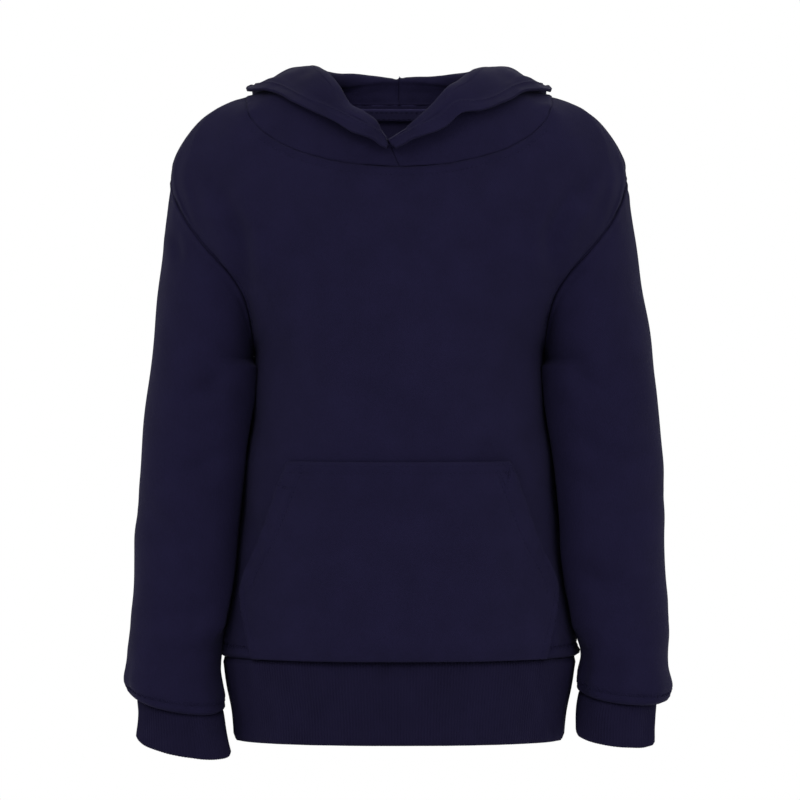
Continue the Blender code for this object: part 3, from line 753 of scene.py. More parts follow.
def resampled(values, knots, places):
    """Rows of values read at other places along their knots."""
    flat = values.reshape(len(values), -1)
    slope = tangents(flat, knots)
    at = np.clip(np.searchsorted(knots, places, side="right") - 1, 0, len(knots) - 2)
    step = (knots[at + 1] - knots[at])[:, None]
    t = ((places - knots[at]) / (knots[at + 1] - knots[at]))[:, None]
    rise = flat[at + 1] - flat[at]
    start, end = slope[at] * step, slope[at + 1] * step
    curve = flat[at] + t * start + t**2 * (3 * rise - 2 * start - end) + t**3 * (start + end - 2 * rise)
    return curve.reshape((len(places),) + values.shape[1:])


def mean_knots(points):
    """Distance along a grid's first axis, as the mean of its lines."""
    return np.concatenate([[0.0], np.cumsum(np.linalg.norm(np.diff(points, axis=0), axis=2).mean(axis=1))])


def refined(points, normals, rows, columns, closed):
    """A coarse grid of points and directions made into a fine one on the same smooth surface."""
    both = np.concatenate([np.array(points), np.array(normals)], axis=2)
    knots = mean_knots(both[:, :, :3])
    both = resampled(both, knots, np.linspace(0.0, knots[-1], rows))
    both = both.transpose(1, 0, 2)
    if closed:
        wrap = 3
        both = np.concatenate([both[-wrap:], both, both[: wrap + 1]])
        knots = mean_knots(both[:, :, :3])
        places = np.linspace(knots[wrap], knots[-wrap - 1], columns + 1)[:-1]
    else:
        knots = mean_knots(both[:, :, :3])
        places = np.linspace(0.0, knots[-1], columns)
    both = resampled(both, knots, places).transpose(1, 0, 2)
    directions = both[:, :, 3:]
    return both[:, :, :3], directions / np.linalg.norm(directions, axis=2, keepdims=True)


class Sheet:
    """A fine grid of one cloth piece: points on its outside face, directions and distances."""

    def __init__(self, coarse, rows, columns, closed=False):
        self.closed = closed
        self.points, self.normals = refined(*coarse, rows, columns, closed)
        self.base = self.points.copy()
        self.from_bottom = self.along(0)
        self.from_top = self.from_bottom[-1:] - self.from_bottom
        self.from_first = self.along(1)
        self.from_last = self.from_first[:, -1:] - self.from_first

    def along(self, axis):
        """Distance from the grid's first row or column."""
        step = np.linalg.norm(np.diff(self.points, axis=axis), axis=2)
        start = np.zeros_like(step[:1] if axis == 0 else step[:, :1])
        return np.cumsum(np.concatenate([start, step], axis=axis), axis=axis)

    def raise_by(self, height):
        """Moves the outside face along its directions."""
        self.points = self.points + self.normals * height[:, :, None]

    def line(self, edge, distance, keep=None):
        """A line on the cloth at a distance from one edge, as points with their directions."""
        far = getattr(self, "from_" + edge)
        by_column = edge in ("bottom", "top")
        found = []
        for k in range(far.shape[1] if by_column else far.shape[0]):
            run = far[:, k] if by_column else far[k]
            spots = self.points[:, k] if by_column else self.points[k]
            ways = self.normals[:, k] if by_column else self.normals[k]
            base = self.base[:, k] if by_column else self.base[k]
            order = np.argsort(run)
            if run[order[-1]] < distance:
                continue
            columns = np.hstack([spots, ways, base]).T
            spot = [np.interp(distance, run[order], column[order]) for column in columns]
            if keep is None or keep(spot[6:]):
                found.append(spot[:6])
        if self.closed and by_column and keep is None:
            found.append(found[0])
        return np.array(found)


def bump(distance, center, width):
    """A soft ridge across a distance."""
    return np.exp(-(((distance - center) / width) ** 2))


def rounding(distance, reach):
    """How far an edge turns in, from 1 at the edge to 0."""
    return np.clip(1.0 - distance / reach, 0.0, 1.0) ** 2


def waves(points, length, seed, stretch=(1.0, 1.0, 1.0)):
    """Soft uneven swells, between about -1 and 1."""
    draw = np.random.default_rng(seed)
    total = np.zeros(points.shape[:2])
    for _ in range(9):
        way = draw.normal(size=3) * np.array(stretch)
        way /= np.linalg.norm(way)
        pace = 2.0 * math.pi / (length * draw.uniform(0.7, 1.5))
        total += np.sin(points @ way * pace + draw.uniform(0.0, 2.0 * math.pi))
    return total / 4.5


def crease(points, route, width, depth, side=None):
    """A trough (depth below 0) or ridge along a route of x and z, on the front (-1) or back (1)."""
    spots = points[:, :, [0, 2]]
    nearest = np.full(spots.shape[:2], 1e9)
    share = np.zeros(spots.shape[:2])
    route = np.array(route, dtype=float)
    spans = np.linalg.norm(np.diff(route, axis=0), axis=1)
    total = spans.sum()
    before = 0.0
    for start, end, span in zip(route, route[1:], spans):
        way = (end - start) / span
        t = np.clip((spots - start) @ way, 0.0, span)
        distance = np.linalg.norm(spots - start - t[:, :, None] * way, axis=2)
        closer = distance < nearest
        nearest = np.where(closer, distance, nearest)
        share = np.where(closer, (before + t) / total, share)
        before += span
    taper = np.sin(math.pi * np.clip(share, 0.02, 0.98)) ** 0.6
    shape = np.exp(-((nearest / width) ** 2)) - 0.35 * np.exp(-(((nearest - 1.9 * width) / width) ** 2))
    field = depth * taper * shape
    if side is not None:
        field = field * np.where(points[:, :, 1] * side > 0.0, 1.0, 0.0)
    return field


def wall_mesh(name, sheet, wall, look, inside_raise=None, painted_light_inside_look=None):
    """A closed wall: the fine outside face, an inside face behind it, and their rims."""
    outside = sheet.points
    inside = sheet.points - sheet.normals * wall
    if inside_raise is not None:
        inside = sheet.base + sheet.normals * (inside_raise - wall)[:, :, None]
    rows, columns = outside.shape[:2]
    count = rows * columns
    grid = np.arange(count).reshape(rows, columns)
    if sheet.closed:
        grid = np.concatenate([grid, grid[:, :1]], axis=1)
    a, b = grid[:-1, :-1].ravel(), grid[:-1, 1:].ravel()
    c, d = grid[1:, 1:].ravel(), grid[1:, :-1].ravel()
    faces = [np.stack([a, b, c, d], axis=1), np.stack([a, d, c, b], axis=1) + count]
    rims = [grid[0, ::-1], grid[-1]]
    if not sheet.closed:
        rims += [grid[:, 0], grid[::-1, -1]]
    for rim in rims:
        faces.append(np.stack([rim[:-1], rim[1:], rim[1:] + count, rim[:-1] + count], axis=1))
    faces = np.concatenate(faces)
    mesh = bpy.data.meshes.new(name + "_cloth")
    spots = np.concatenate([outside.reshape(-1, 3), inside.reshape(-1, 3)]) * MM
    mesh.vertices.add(len(spots))
    mesh.vertices.foreach_set("co", spots.ravel())
    mesh.loops.add(faces.size)
    mesh.loops.foreach_set("vertex_index", faces.ravel().astype(np.int32))
    mesh.polygons.add(len(faces))
    mesh.polygons.foreach_set("loop_start", np.arange(0, faces.size, 4, dtype=np.int32))
    mesh.update(calc_edges=True)
    across = np.concatenate([sheet.from_first.ravel()] * 2) * MM
    up = np.concatenate([sheet.from_bottom.ravel()] * 2) * MM
    layer = mesh.uv_layers.new(name="UVMap")
    corners = faces.ravel()
    layer.data.foreach_set("uv", np.stack([across[corners], up[corners]], axis=1).ravel())
    mesh.shade_smooth()
    mesh.materials.append(look)
    # the inside faces get their own finish, whose colour is lifted with painted light
    if painted_light_inside_look is not None:
        mesh.materials.append(painted_light_inside_look)
        inner = np.zeros(len(faces), dtype=np.int32)
        inner[len(a) : 2 * len(a)] = 1
        mesh.polygons.foreach_set("material_index", inner)
    piece = bpy.data.objects.new(name + "_cloth", mesh)
    bpy.context.scene.collection.objects.link(piece)
    return piece


def declare(piece, node, sheet):
    """Attaches a cloth piece to the root and hides the imported part it stands for; its sheet is not used."""
    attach(piece, "root")
    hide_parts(node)


# ---------------------------------------------------------------- materials


def group_tree(name, inputs, outputs):
    """An empty shader group with named value inputs and outputs."""
    tree = bpy.data.node_groups.new(name, "ShaderNodeTree")
    for title, kind, value in inputs:
        socket = tree.interface.new_socket(name=title, in_out="INPUT", socket_type=kind)
        if value is not None:
            socket.default_value = value
    for title, kind in outputs:
        tree.interface.new_socket(name=title, in_out="OUTPUT", socket_type=kind)
    return tree, tree.nodes.new("NodeGroupInput"), tree.nodes.new("NodeGroupOutput")


def math_node(tree, operation, a, b=None):
    node = tree.nodes.new("ShaderNodeMath")
    node.operation = operation
    for socket, value in zip(node.inputs, (a, b)):
        if value is None:
            continue
        if isinstance(value, (int, float)):
            socket.default_value = value
        else:
            tree.links.new(value, socket)
    return node.outputs[0]


def knit_group():
    """Height of plain knit: columns of V stitches along the cloth's own length."""
    made = bpy.data.node_groups.get("knit_stitches")
    if made:
        return made
    tree, start, end = group_tree(
        "knit_stitches",
        [("Column", "NodeSocketFloat", 0.0012), ("Row", "NodeSocketFloat", 0.0009)],
        [("Height", "NodeSocketFloat")],
    )
    cloth_map = tree.nodes.new("ShaderNodeUVMap")
    cloth_map.uv_map = "UVMap"
    split = tree.nodes.new("ShaderNodeSeparateXYZ")
    tree.links.new(cloth_map.outputs["UV"], split.inputs[0])
    u = math_node(tree, "DIVIDE", split.outputs["X"], start.outputs["Column"])
    v = math_node(tree, "DIVIDE", split.outputs["Y"], start.outputs["Row"])
    across = math_node(tree, "ABSOLUTE", math_node(tree, "SUBTRACT", math_node(tree, "FRACT", u), 0.5))
    column = math_node(tree, "SUBTRACT", 1.0, math_node(tree, "MULTIPLY", across, 2.0))
    slanted = math_node(tree, "ADD", v, math_node(tree, "MULTIPLY", across, 1.2))
    loop = math_node(tree, "SINE", math_node(tree, "MULTIPLY", slanted, 2.0 * math.pi))
    loop = math_node(tree, "ADD", math_node(tree, "MULTIPLY", loop, 0.25), 0.75)
    height = math_node(tree, "MULTIPLY", math_node(tree, "POWER", column, 0.5), loop)
    tree.links.new(height, end.inputs["Height"])
    return tree


def mottle_group():
    """Uneven dye: how light the yarn is, in fibres and in broad soft patches."""
    made = bpy.data.node_groups.get("yarn_mottle")
    if made:
        return made
    tree, start, end = group_tree(
        "yarn_mottle",
        [
            ("Fibre Scale", "NodeSocketFloat", 1300.0),
            ("Patch Scale", "NodeSocketFloat", 45.0),
            ("Contrast", "NodeSocketFloat", 0.3),
        ],
        [("Lightness", "NodeSocketFloat"), ("Fuzz", "NodeSocketFloat")],
    )
    place = tree.nodes.new("ShaderNodeTexCoord")
    fibres = tree.nodes.new("ShaderNodeTexNoise")
    tree.links.new(place.outputs["Object"], fibres.inputs["Vector"])
    tree.links.new(start.outputs["Fibre Scale"], fibres.inputs["Scale"])
    fibres.inputs["Detail"].default_value = 4.0
    fibres.inputs["Roughness"].default_value = 0.7
    patches = tree.nodes.new("ShaderNodeTexNoise")
    tree.links.new(place.outputs["Object"], patches.inputs["Vector"])
    tree.links.new(start.outputs["Patch Scale"], patches.inputs["Scale"])
    patches.inputs["Detail"].default_value = 3.0
    fine = math_node(tree, "SUBTRACT", fibres.outputs["Fac"], 0.5)
    broad = math_node(tree, "MULTIPLY", math_node(tree, "SUBTRACT", patches.outputs["Fac"], 0.5), 0.6)
    uneven = math_node(tree, "MULTIPLY", math_node(tree, "ADD", fine, broad), start.outputs["Contrast"])
    tree.links.new(math_node(tree, "ADD", 0.5, uneven), end.inputs["Lightness"])
    tree.links.new(fibres.outputs["Fac"], end.inputs["Fuzz"])
    return tree


def knit_material(name, colour, column, row, contrast, knit_depth, fuzz_depth, sheen):
    """A knit cloth's finish from its colour, stitch size, mottle, bump depths in metres and sheen."""
    look = bpy.data.materials.new(name)
    look.use_nodes = True
    look.diffuse_color = (*colour, 1.0)
    tree = look.node_tree
    shader = tree.nodes["Principled BSDF"]
    shader.inputs["Roughness"].default_value = 0.92
    shader.inputs["Metallic"].default_value = 0.0
    shader.inputs["Specular IOR Level"].default_value = 0.05
    shader.inputs["Sheen Weight"].default_value = sheen
    shader.inputs["Sheen Roughness"].default_value = 0.6
    shader.inputs["Sheen Tint"].default_value = (0.45, 0.45, 0.75, 1.0)
    mottle = tree.nodes.new("ShaderNodeGroup")
    mottle.node_tree = mottle_group()
    mottle.inputs["Contrast"].default_value = contrast
    shade = tree.nodes.new("ShaderNodeMix")
    shade.data_type = "RGBA"
    shade.inputs["A"].default_value = (*[c * 0.55 for c in colour], 1.0)
    shade.inputs["B"].default_value = (*[c * 1.45 for c in colour], 1.0)
    tree.links.new(mottle.outputs["Lightness"], shade.inputs["Factor"])
    tree.links.new(shade.outputs["Result"], shader.inputs["Base Color"])
    knit = tree.nodes.new("ShaderNodeGroup")
    knit.node_tree = knit_group()
    knit.inputs["Column"].default_value = column
    knit.inputs["Row"].default_value = row
    stitches = tree.nodes.new("ShaderNodeBump")
    stitches.inputs["Distance"].default_value = knit_depth
    stitches.inputs["Strength"].default_value = 0.7
    tree.links.new(knit.outputs["Height"], stitches.inputs["Height"])
    fuzz = tree.nodes.new("ShaderNodeBump")
    fuzz.inputs["Distance"].default_value = fuzz_depth
    fuzz.inputs["Strength"].default_value = 0.8
    tree.links.new(mottle.outputs["Fuzz"], fuzz.inputs["Height"])
    tree.links.new(stitches.outputs["Normal"], fuzz.inputs["Normal"])
    tree.links.new(fuzz.outputs["Normal"], shader.inputs["Normal"])
    return look


def finish_of(kind):
    """The cloth finishes, made once each from the colours in the panel."""
    made = bpy.data.materials.get(kind)
    if made:
        return made
    looks = bpy.context.scene.hoodie_looks
    finishes = {
        "navy_fleece": (looks.fleece_colour, 0.0012, 0.0009, 0.8, 0.00016, 0.00022, 0.02),
        # the brushed inside: its own lighter tone, raised further as painted light for the inside that lies
        # in shade
        "navy_brushed": (looks.inside_colour_with_painted_light, 0.0012, 0.0009, 0.8, 0.00004, 0.00035, 0.04),
        "navy_rib": (looks.rib_colour, 0.0009, 0.0008, 0.6, 0.00012, 0.00015, 0.02),
        # the neck tape: its own tone, raised as painted light for its place in the shaded inside of the neck
        "navy_tape": (looks.tape_colour_with_painted_light, 0.0010, 0.0010, 0.35, 0.00012, 0.00012, 0.02),
        "navy_thread": (looks.thread_colour, 0.0006, 0.0006, 0.25, 0.00004, 0.00004, 0.02),
    }
    colour, *rest = finishes[kind]
    return knit_material(kind, tuple(colour), *rest)


# ---------------------------------------------------------------- stitching

THREAD = 0.26  # half thickness of a stitch's thread
THREAD_SIDES = 6


def evenly(line, pitch):
    """Points and directions at even steps along a line."""
    span = np.linalg.norm(np.diff(line[:, :3], axis=0), axis=1)
    far = np.concatenate([[0.0], np.cumsum(span)])
    count = max(int(far[-1] / pitch), 1)
    places = np.linspace(0.0, far[-1], count + 1)
    return np.array([np.interp(places, far, column) for column in line.T]).T


def stitch_row(line, pitch, fill=0.72):
    """Each stitch of a straight row as its two ends and its direction out of the cloth."""
    spots = evenly(line, pitch)
    return [
        (a[:3] + (b[:3] - a[:3]) * (1.0 - fill) / 2.0, b[:3] - (b[:3] - a[:3]) * (1.0 - fill) / 2.0, a[3:])
        for a, b in zip(spots, spots[1:])
    ]


def cover_row(low, high, pitch):
    """Slanted threads between two lines, like a coverstitch's."""
    a, b = evenly(low, pitch), evenly(high, pitch)
    count = min(len(a), len(b))
    ends = [(a if k % 2 else b)[k] for k in range(count)]
    return [(p[:3], q[:3], p[3:]) for p, q in zip(ends, ends[1:])]


def thread_mesh(name, stitches):
    """All of a piece's stitches as short round threads that dip into the cloth at their ends."""
    profile = ((0.0, 0.35, -0.35), (0.18, 0.9, 0.0), (0.5, 1.0, 0.16), (0.82, 0.9, 0.0), (1.0, 0.35, -0.35))
    spots, faces = [], []
    for start, end, out in stitches:
        way = end - start
        out = out / np.linalg.norm(out)
        side = np.cross(way, out)
        size = np.linalg.norm(side)
        if size < 1e-6:
            continue
        side /= size
        first = len(spots)
        for share, thick, lift in profile:
            centre = start + way * share + out * lift
            for k in range(THREAD_SIDES):
                turn = 2.0 * math.pi * k / THREAD_SIDES
                spots.append(centre + (side * math.cos(turn) + out * math.sin(turn)) * THREAD * thick)
        for ring_at in range(len(profile) - 1):
            for k in range(THREAD_SIDES):
                a = first + ring_at * THREAD_SIDES + k
                b = first + ring_at * THREAD_SIDES + (k + 1) % THREAD_SIDES
                faces.append((a, a + THREAD_SIDES, b + THREAD_SIDES, b))
        last = first + (len(profile) - 1) * THREAD_SIDES
        faces.append(tuple(first + k for k in range(THREAD_SIDES)))
        faces.append(tuple(last + k for k in reversed(range(THREAD_SIDES))))
    mesh = bpy.data.meshes.new(name)
    mesh.from_pydata([tuple(p * MM) for p in spots], [], faces)
    mesh.uv_layers.new(name="UVMap")
    mesh.shade_smooth()
    mesh.materials.append(finish_of("navy_thread"))
    piece = bpy.data.objects.new(name, mesh)
    bpy.context.scene.collection.objects.link(piece)
    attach(piece, "root")
    return piece


# ---------------------------------------------------------------- pieces

# Creases of the body: face (-1 front, 1 back), then three points across and up, width and depth.
BODY_CREASES = (
    # face, x1, z1, x2, z2, x3, z3, width, depth
    (-1, -116, -60, -100, -90, -95, -132, 6.0, -4.2),
    (-1, 112, -60, 96, -90, 97, -120, 6.0, -4.2),
    (-1, 122, -53, 118, -63, 114, -74, 3.0, -1.6),
    (-1, -92, -150, -66, -182, -40, -200, 11.0, -1.6),
    (-1, 92, -146, 64, -180, 40, -192, 11.0, -1.6),
    (-1, -84, -205, -60, -226, -38, -232, 9.0, -1.0),
    (-1, 84, -212, 62, -230, 40, -234, 9.0, -1.0),
    (-1, -40, -60, -20, -72, 10, -74, 9.0, -0.9),
    (-1, -31, -45, -18, -50, -1, -46, 2.6, -1.1),
    (-1, -98, -250, -92, -290, -97, -335, 7.0, -1.8),
    (-1, 96, -240, 92, -270, 97, -300, 7.0, -1.4),
    (1, -114, -62, -98, -92, -94, -132, 7.0, -3.6),
    (1, 114, -62, 98, -92, 94, -132, 7.0, -3.6),
    (1, -88, -150, -55, -176, -20, -184, 12.0, -1.8),
    (1, 88, -154, 55, -182, 22, -190, 12.0, -1.8),
    (1, -80, -240, -40, -262, 0, -266, 13.0, -1.5),
    (1, 84, -262, 48, -284, 10, -290, 13.0, -1.5),
    (1, -92, -300, -60, -326, -30, -338, 10.0, -1.2),
)

# Creases of the sleeves, in the same columns, with x as if for the wearer's left.
SLEEVE_CREASES = {
    "right": (
        (-1, 142, -88, 140, -98, 138, -109, 3.0, -1.8),
        (-1, 104, -172, 122, -190, 142, -198, 6.0, -2.0),
        (-1, 108, -226, 128, -240, 150, -243, 7.0, -1.8),
        (-1, 164, -262, 146, -282, 124, -290, 7.0, -1.6),
        (-1, 112, -318, 132, -330, 156, -331, 6.5, -1.6),
        (-1, 168, -340, 150, -354, 130, -357, 6.0, -1.5),
        (1, 104, -176, 124, -196, 146, -202, 7.0, -2.2),
        (1, 110, -232, 132, -250, 156, -256, 7.0, -2.0),
        (1, 112, -296, 134, -312, 158, -314, 7.0, -1.8),
        (1, 114, -344, 136, -356, 160, -356, 6.0, -1.6),
    ),
    "left": (
        (-1, 126, -76, 128, -88, 132, -100, 4.0, -1.2),
        (-1, 102, -166, 120, -186, 140, -196, 6.5, -2.2),
        (-1, 106, -212, 126, -228, 148, -230, 7.0, -1.6),
        (-1, 166, -250, 148, -268, 126, -274, 7.5, -1.8),
        (-1, 110, -300, 130, -312, 152, -312, 6.5, -1.6),
        (-1, 168, -330, 150, -346, 132, -350, 6.0, -1.6),
        (1, 104, -172, 124, -192, 146, -200, 7.0, -2.2),
        (1, 110, -226, 132, -246, 156, -250, 7.0, -2.0),
        (1, 112, -288, 134, -306, 158, -310, 7.0, -1.8),
        (1, 116, -338, 138, -350, 160, -350, 6.0, -1.6),
    ),
}


POCKET_HEM = 15.5  # the stitched hem of a pocket opening
TACK_SIZE = 13.5
HOOD_HEM = 7.0


def crease_sum(points, table, strength, mirror=1.0):
    total = np.zeros(points.shape[:2])
    for face, x1, z1, x2, z2, x3, z3, width, depth in table:
        route = ((mirror * x1, z1), (mirror * x2, z2), (mirror * x3, z3))
        total += crease(points, route, width, depth * strength, face)
    return total


def seam_roll(distance, height, width, dip, turn=1.2):
    """A sewn seam beside the gap: the cloth rolls up, then dips where the stitches pull it down."""
    roll = height * bump(distance, width * 0.9, width)
    return roll - dip * bump(distance, width * 3.0, width * 0.75) - turn * rounding(distance, 1.6)


def puckers(points, distance, pitch, seed, reach=13.0):
    """Small gathers along a seam that fade away from it."""
    ripple = waves(points, pitch, seed)
    return ripple * np.exp(-((distance / reach) ** 2))


def beside_neck(point):
    return abs(point[0]) < NECK_HALF_WIDTH - 3.0


def beside_armhole(point):
    return point[2] > UNDERARM + 3.0


def beside_opening(point):
    return -318.0 < point[2] < -238.0


def beside_sewn_side(point):
    return point[2] <= -316.0


def build_panel(name, face, stage_looks):
    """Front or back: folds, and rolled seams at the neck, armholes, shoulders, sides and waist."""
    sheet = Sheet(body_panel(face), *FINE_PANEL)
    base = sheet.base
    height = base[:, :, 2]
    edge_distance = np.minimum(sheet.from_first, sheet.from_last)
    on_armhole = 1.0 / (1.0 + np.exp(-(height - UNDERARM) / 2.5))
    near_neck = 1.0 / (1.0 + np.exp((np.abs(base[:, :, 0]) - NECK_HALF_WIDTH) / 1.5))
    strength = stage_looks.fold_depth
    folds = crease_sum(base, BODY_CREASES, strength)
    folds += 0.8 * strength * waves(base, 95.0, 3 if face < 0 else 4, (1.0, 1.0, 0.35))
    folds += 0.35 * strength * waves(base, 38.0, 5 if face < 0 else 6, (1.0, 1.0, 0.6))
    calm = np.clip(np.minimum(edge_distance, np.minimum(sheet.from_top, sheet.from_bottom)) / 14.0, 0.0, 1.0)
    folds *= calm
    gathers = 1.0 * stage_looks.pucker_depth * waves(base * np.array([1.0, 1.0, 0.15]), 19.0, 11)
    folds += gathers * np.exp(-((sheet.from_bottom / 26.0) ** 2)) * np.clip(sheet.from_bottom / 9.0, 0.0, 1.0)
    detail = folds.copy()
    detail += 2.3 * bump(sheet.from_bottom, 3.2, 2.8) - 0.9 * bump(sheet.from_bottom, 8.2, 1.6)
    detail -= 1.6 * rounding(sheet.from_bottom, 2.0)
    detail += near_neck * seam_roll(sheet.from_top, 0.3, 1.8, 0.35, 0.25)
    detail += (1.0 - near_neck) * (0.5 * bump(sheet.from_top, 2.0, 2.0) - 0.8 * rounding(sheet.from_top, 1.4))
    detail += on_armhole * seam_roll(edge_distance, 0.7, 1.9, 0.5, 0.5)
    detail += (1.0 - on_armhole) * (0.5 * bump(edge_distance, 2.2, 2.0) - 0.9 * rounding(edge_distance, 1.6))
    pucker = stage_looks.pucker_depth
    detail += 0.5 * pucker * puckers(base, sheet.from_top, 11.0, 21) * near_neck
    detail += 0.6 * pucker * puckers(base, edge_distance, 12.0, 22) * on_armhole
    detail += 0.35 * pucker * puckers(base, edge_distance, 14.0, 23) * (1.0 - on_armhole)
    sheet.raise_by(detail)
    threads = []
    pitch = stage_looks.stitch_pitch
    threads += stitch_row(sheet.line("top", 5.6, beside_neck), pitch)
    for edge in ("first", "last"):
        threads += stitch_row(sheet.line(edge, 5.8, beside_armhole), pitch)
    low, high = sheet.line("bottom", 6.2), sheet.line("bottom", 9.0)
    threads += cover_row(low, high, pitch * 0.75) + stitch_row(low, pitch) + stitch_row(high, pitch)
    # the inside faces use the brushed finish, lightened with painted light
    piece = wall_mesh(name, sheet, WALL, finish_of("navy_fleece"), folds, finish_of("navy_brushed"))
    stitching = thread_mesh("stitching_" + name, threads)
    declare(piece, name, sheet)
    return sheet


def press_to_body(sheet, mirror):
    """Brings a hanging sleeve's inner side across to the body's side, where the two lie together."""
    height = sheet.base[:, :, 2]
    body = np.array([[BODY.at(float(level), "half_width") for level in row] for row in height])
    facing = np.clip(-3.0 * mirror * sheet.normals[:, :, 0] + 0.1, 0.0, 1.0)
    beside = np.clip((UNDERARM - 1.0 - height) / 5.0, 0.0, 1.0) * np.clip((height + 352.0) / 14.0, 0.0, 1.0)
    gap = np.clip(sheet.base[:, :, 0] * mirror - body + 0.6, 0.0, 8.0)
    shift = -mirror * gap * facing * beside
    sheet.base[:, :, 0] += shift
    sheet.points = sheet.base.copy()


def build_sleeve(side, stage_looks):
    """A sleeve: soft drag folds, a rolled armhole seam and a puff over the cuff."""
    name = "sleeve_" + side
    sheet = Sheet(sleeve(side), *FINE_SLEEVE, closed=True)
    mirror = -1.0 if side == "right" else 1.0
    press_to_body(sheet, mirror)
    base = sheet.base
    strength, pucker = stage_looks.fold_depth, stage_looks.pucker_depth
    seed = 31 if side == "left" else 32
    low, high = sheet.from_bottom, sheet.from_top
    folds = crease_sum(base, SLEEVE_CREASES[side], strength, mirror)
    folds += 0.9 * strength * waves(base, 52.0, seed, (0.6, 0.6, 1.0))
    folds *= np.clip(np.minimum(low, high) / 14.0, 0.0, 1.0)
    around = np.linspace(0.0, 2.0 * math.pi, base.shape[1] + 1)[:-1][None, :]
    pleats = np.sin(around * 9.0 + 0.8 * np.sin(around * 2.0 + seed))
    pleats = pleats * (0.6 + 0.4 * np.sin(around * 4.0 + 1.3))
    folds += 1.3 * pucker * pleats * np.exp(-((low / 24.0) ** 2)) * np.clip(low / 5.0, 0.0, 1.0)
    folds += 1.8 * bump(low, 9.0, 9.0)
    detail = folds + 1.1 * bump(low, 2.4, 2.0) - 0.6 * bump(low, 6.6, 1.4) - 1.5 * rounding(low, 2.0)
    detail += seam_roll(high, 0.9, 2.0, 0.3, 0.5)
    detail += 0.6 * pucker * puckers(base, high, 12.0, seed + 5)
    sheet.raise_by(detail)
    pitch = stage_looks.stitch_pitch
    cover_low, cover_high = sheet.line("bottom", 5.4), sheet.line("bottom", 8.0)
    threads = cover_row(cover_low, cover_high, pitch * 0.75)
    threads += stitch_row(cover_low, pitch) + stitch_row(cover_high, pitch)
    # the inside faces use the brushed finish, lightened with painted light
    piece = wall_mesh(name, sheet, WALL, finish_of("navy_fleece"), folds, finish_of("navy_brushed"))
    stitching = thread_mesh("stitching_" + name, threads)
    declare(piece, name, sheet)


def build_rib(name, coarse, stage_looks, seed):
    """A rib knit band: ribs run up it, its seam edge is drawn in and its free edge is folded round."""
    knots = mean_knots(np.array(coarse[0]).transpose(1, 0, 2))
    closing = np.linalg.norm(np.array(coarse[0])[:, 0] - np.array(coarse[0])[:, -1], axis=1).mean()
    ribs = int(round((knots[-1] + closing) / stage_looks.rib_pitch))
    sheet = Sheet(coarse, RIB_ROWS, ribs * RIB_SAMPLES, closed=True)
    base = sheet.base
    rib = np.arange(ribs * RIB_SAMPLES)[None, :] / RIB_SAMPLES
    uneven = 1.0 + 0.25 * waves(base, 17.0, seed)
    ribbing = 0.26 * np.cos(2.0 * math.pi * rib) * uneven
    low, high = sheet.from_bottom, sheet.from_top
    folds = 0.9 * stage_looks.fold_depth * waves(base, 44.0, seed + 1, (1.0, 1.0, 0.5))
    folds *= np.clip(np.minimum(low, high) / 9.0, 0.0, 1.0)
    folds += 0.5 * stage_looks.pucker_depth * waves(base * np.array([1.0, 1.0, 0.1]), 13.0, seed + 2)
    detail = folds + ribbing - 1.4 * rounding(high, 2.6) - 1.1 * rounding(low, 2.0)
    sheet.raise_by(detail)
    piece = wall_mesh(name, sheet, RIB_WALL, finish_of("navy_rib"), folds - 0.4)
    declare(piece, name, sheet)


def build_pocket(stage_looks):
    """The kangaroo pocket: stitched edges, slanted openings that lift a little and bar tacks."""
    sheet = Sheet(pocket(), *FINE_POCKET)
    base = sheet.base
    edge_distance = np.minimum(sheet.from_first, sheet.from_last)
    height = base[:, :, 2]
    open_part = np.clip((height + 322.0) / 12.0, 0.0, 1.0) * np.clip((-236.0 - height) / 8.0, 0.0, 1.0)
    folds = 0.7 * stage_looks.fold_depth * waves(base, 70.0, 41, (1.0, 1.0, 0.5))
    folds *= np.clip(np.minimum(edge_distance, sheet.from_top) / 15.0, 0.0, 1.0)
    gape = 1.3 * open_part * np.exp(-((edge_distance / 16.0) ** 2))
    detail = folds + gape - 1.3 * rounding(edge_distance, 1.6) - 1.2 * rounding(sheet.from_top, 1.6)
    detail += 0.5 * bump(edge_distance, 3.4, 2.6) + 0.4 * bump(sheet.from_top, 3.2, 2.4)
    detail -= 0.5 * open_part * bump(edge_distance, POCKET_HEM, 1.3)
    detail += 0.4 * stage_looks.pucker_depth * puckers(base, edge_distance, 10.0, 42, 16.0)
    detail += 0.4 * stage_looks.pucker_depth * puckers(base, sheet.from_top, 10.0, 43, 9.0)
    sheet.raise_by(detail)
    pitch = stage_looks.stitch_pitch
    threads = []
    for edge in ("first", "last"):
        threads += stitch_row(sheet.line(edge, POCKET_HEM, beside_opening), pitch)
        threads += stitch_row(sheet.line(edge, 2.2, beside_sewn_side), pitch)
        threads += stitch_row(sheet.line(edge, 7.0, beside_sewn_side), pitch)
    for distance in (2.2, 7.0):
        threads += stitch_row(sheet.line("top", distance), pitch)
    threads += bar_tacks(sheet, pitch)
    piece = wall_mesh("pocket", sheet, WALL, finish_of("navy_fleece"), folds + gape)
    stitching = thread_mesh("stitching_pocket", threads)
    declare(piece, "pocket", sheet)


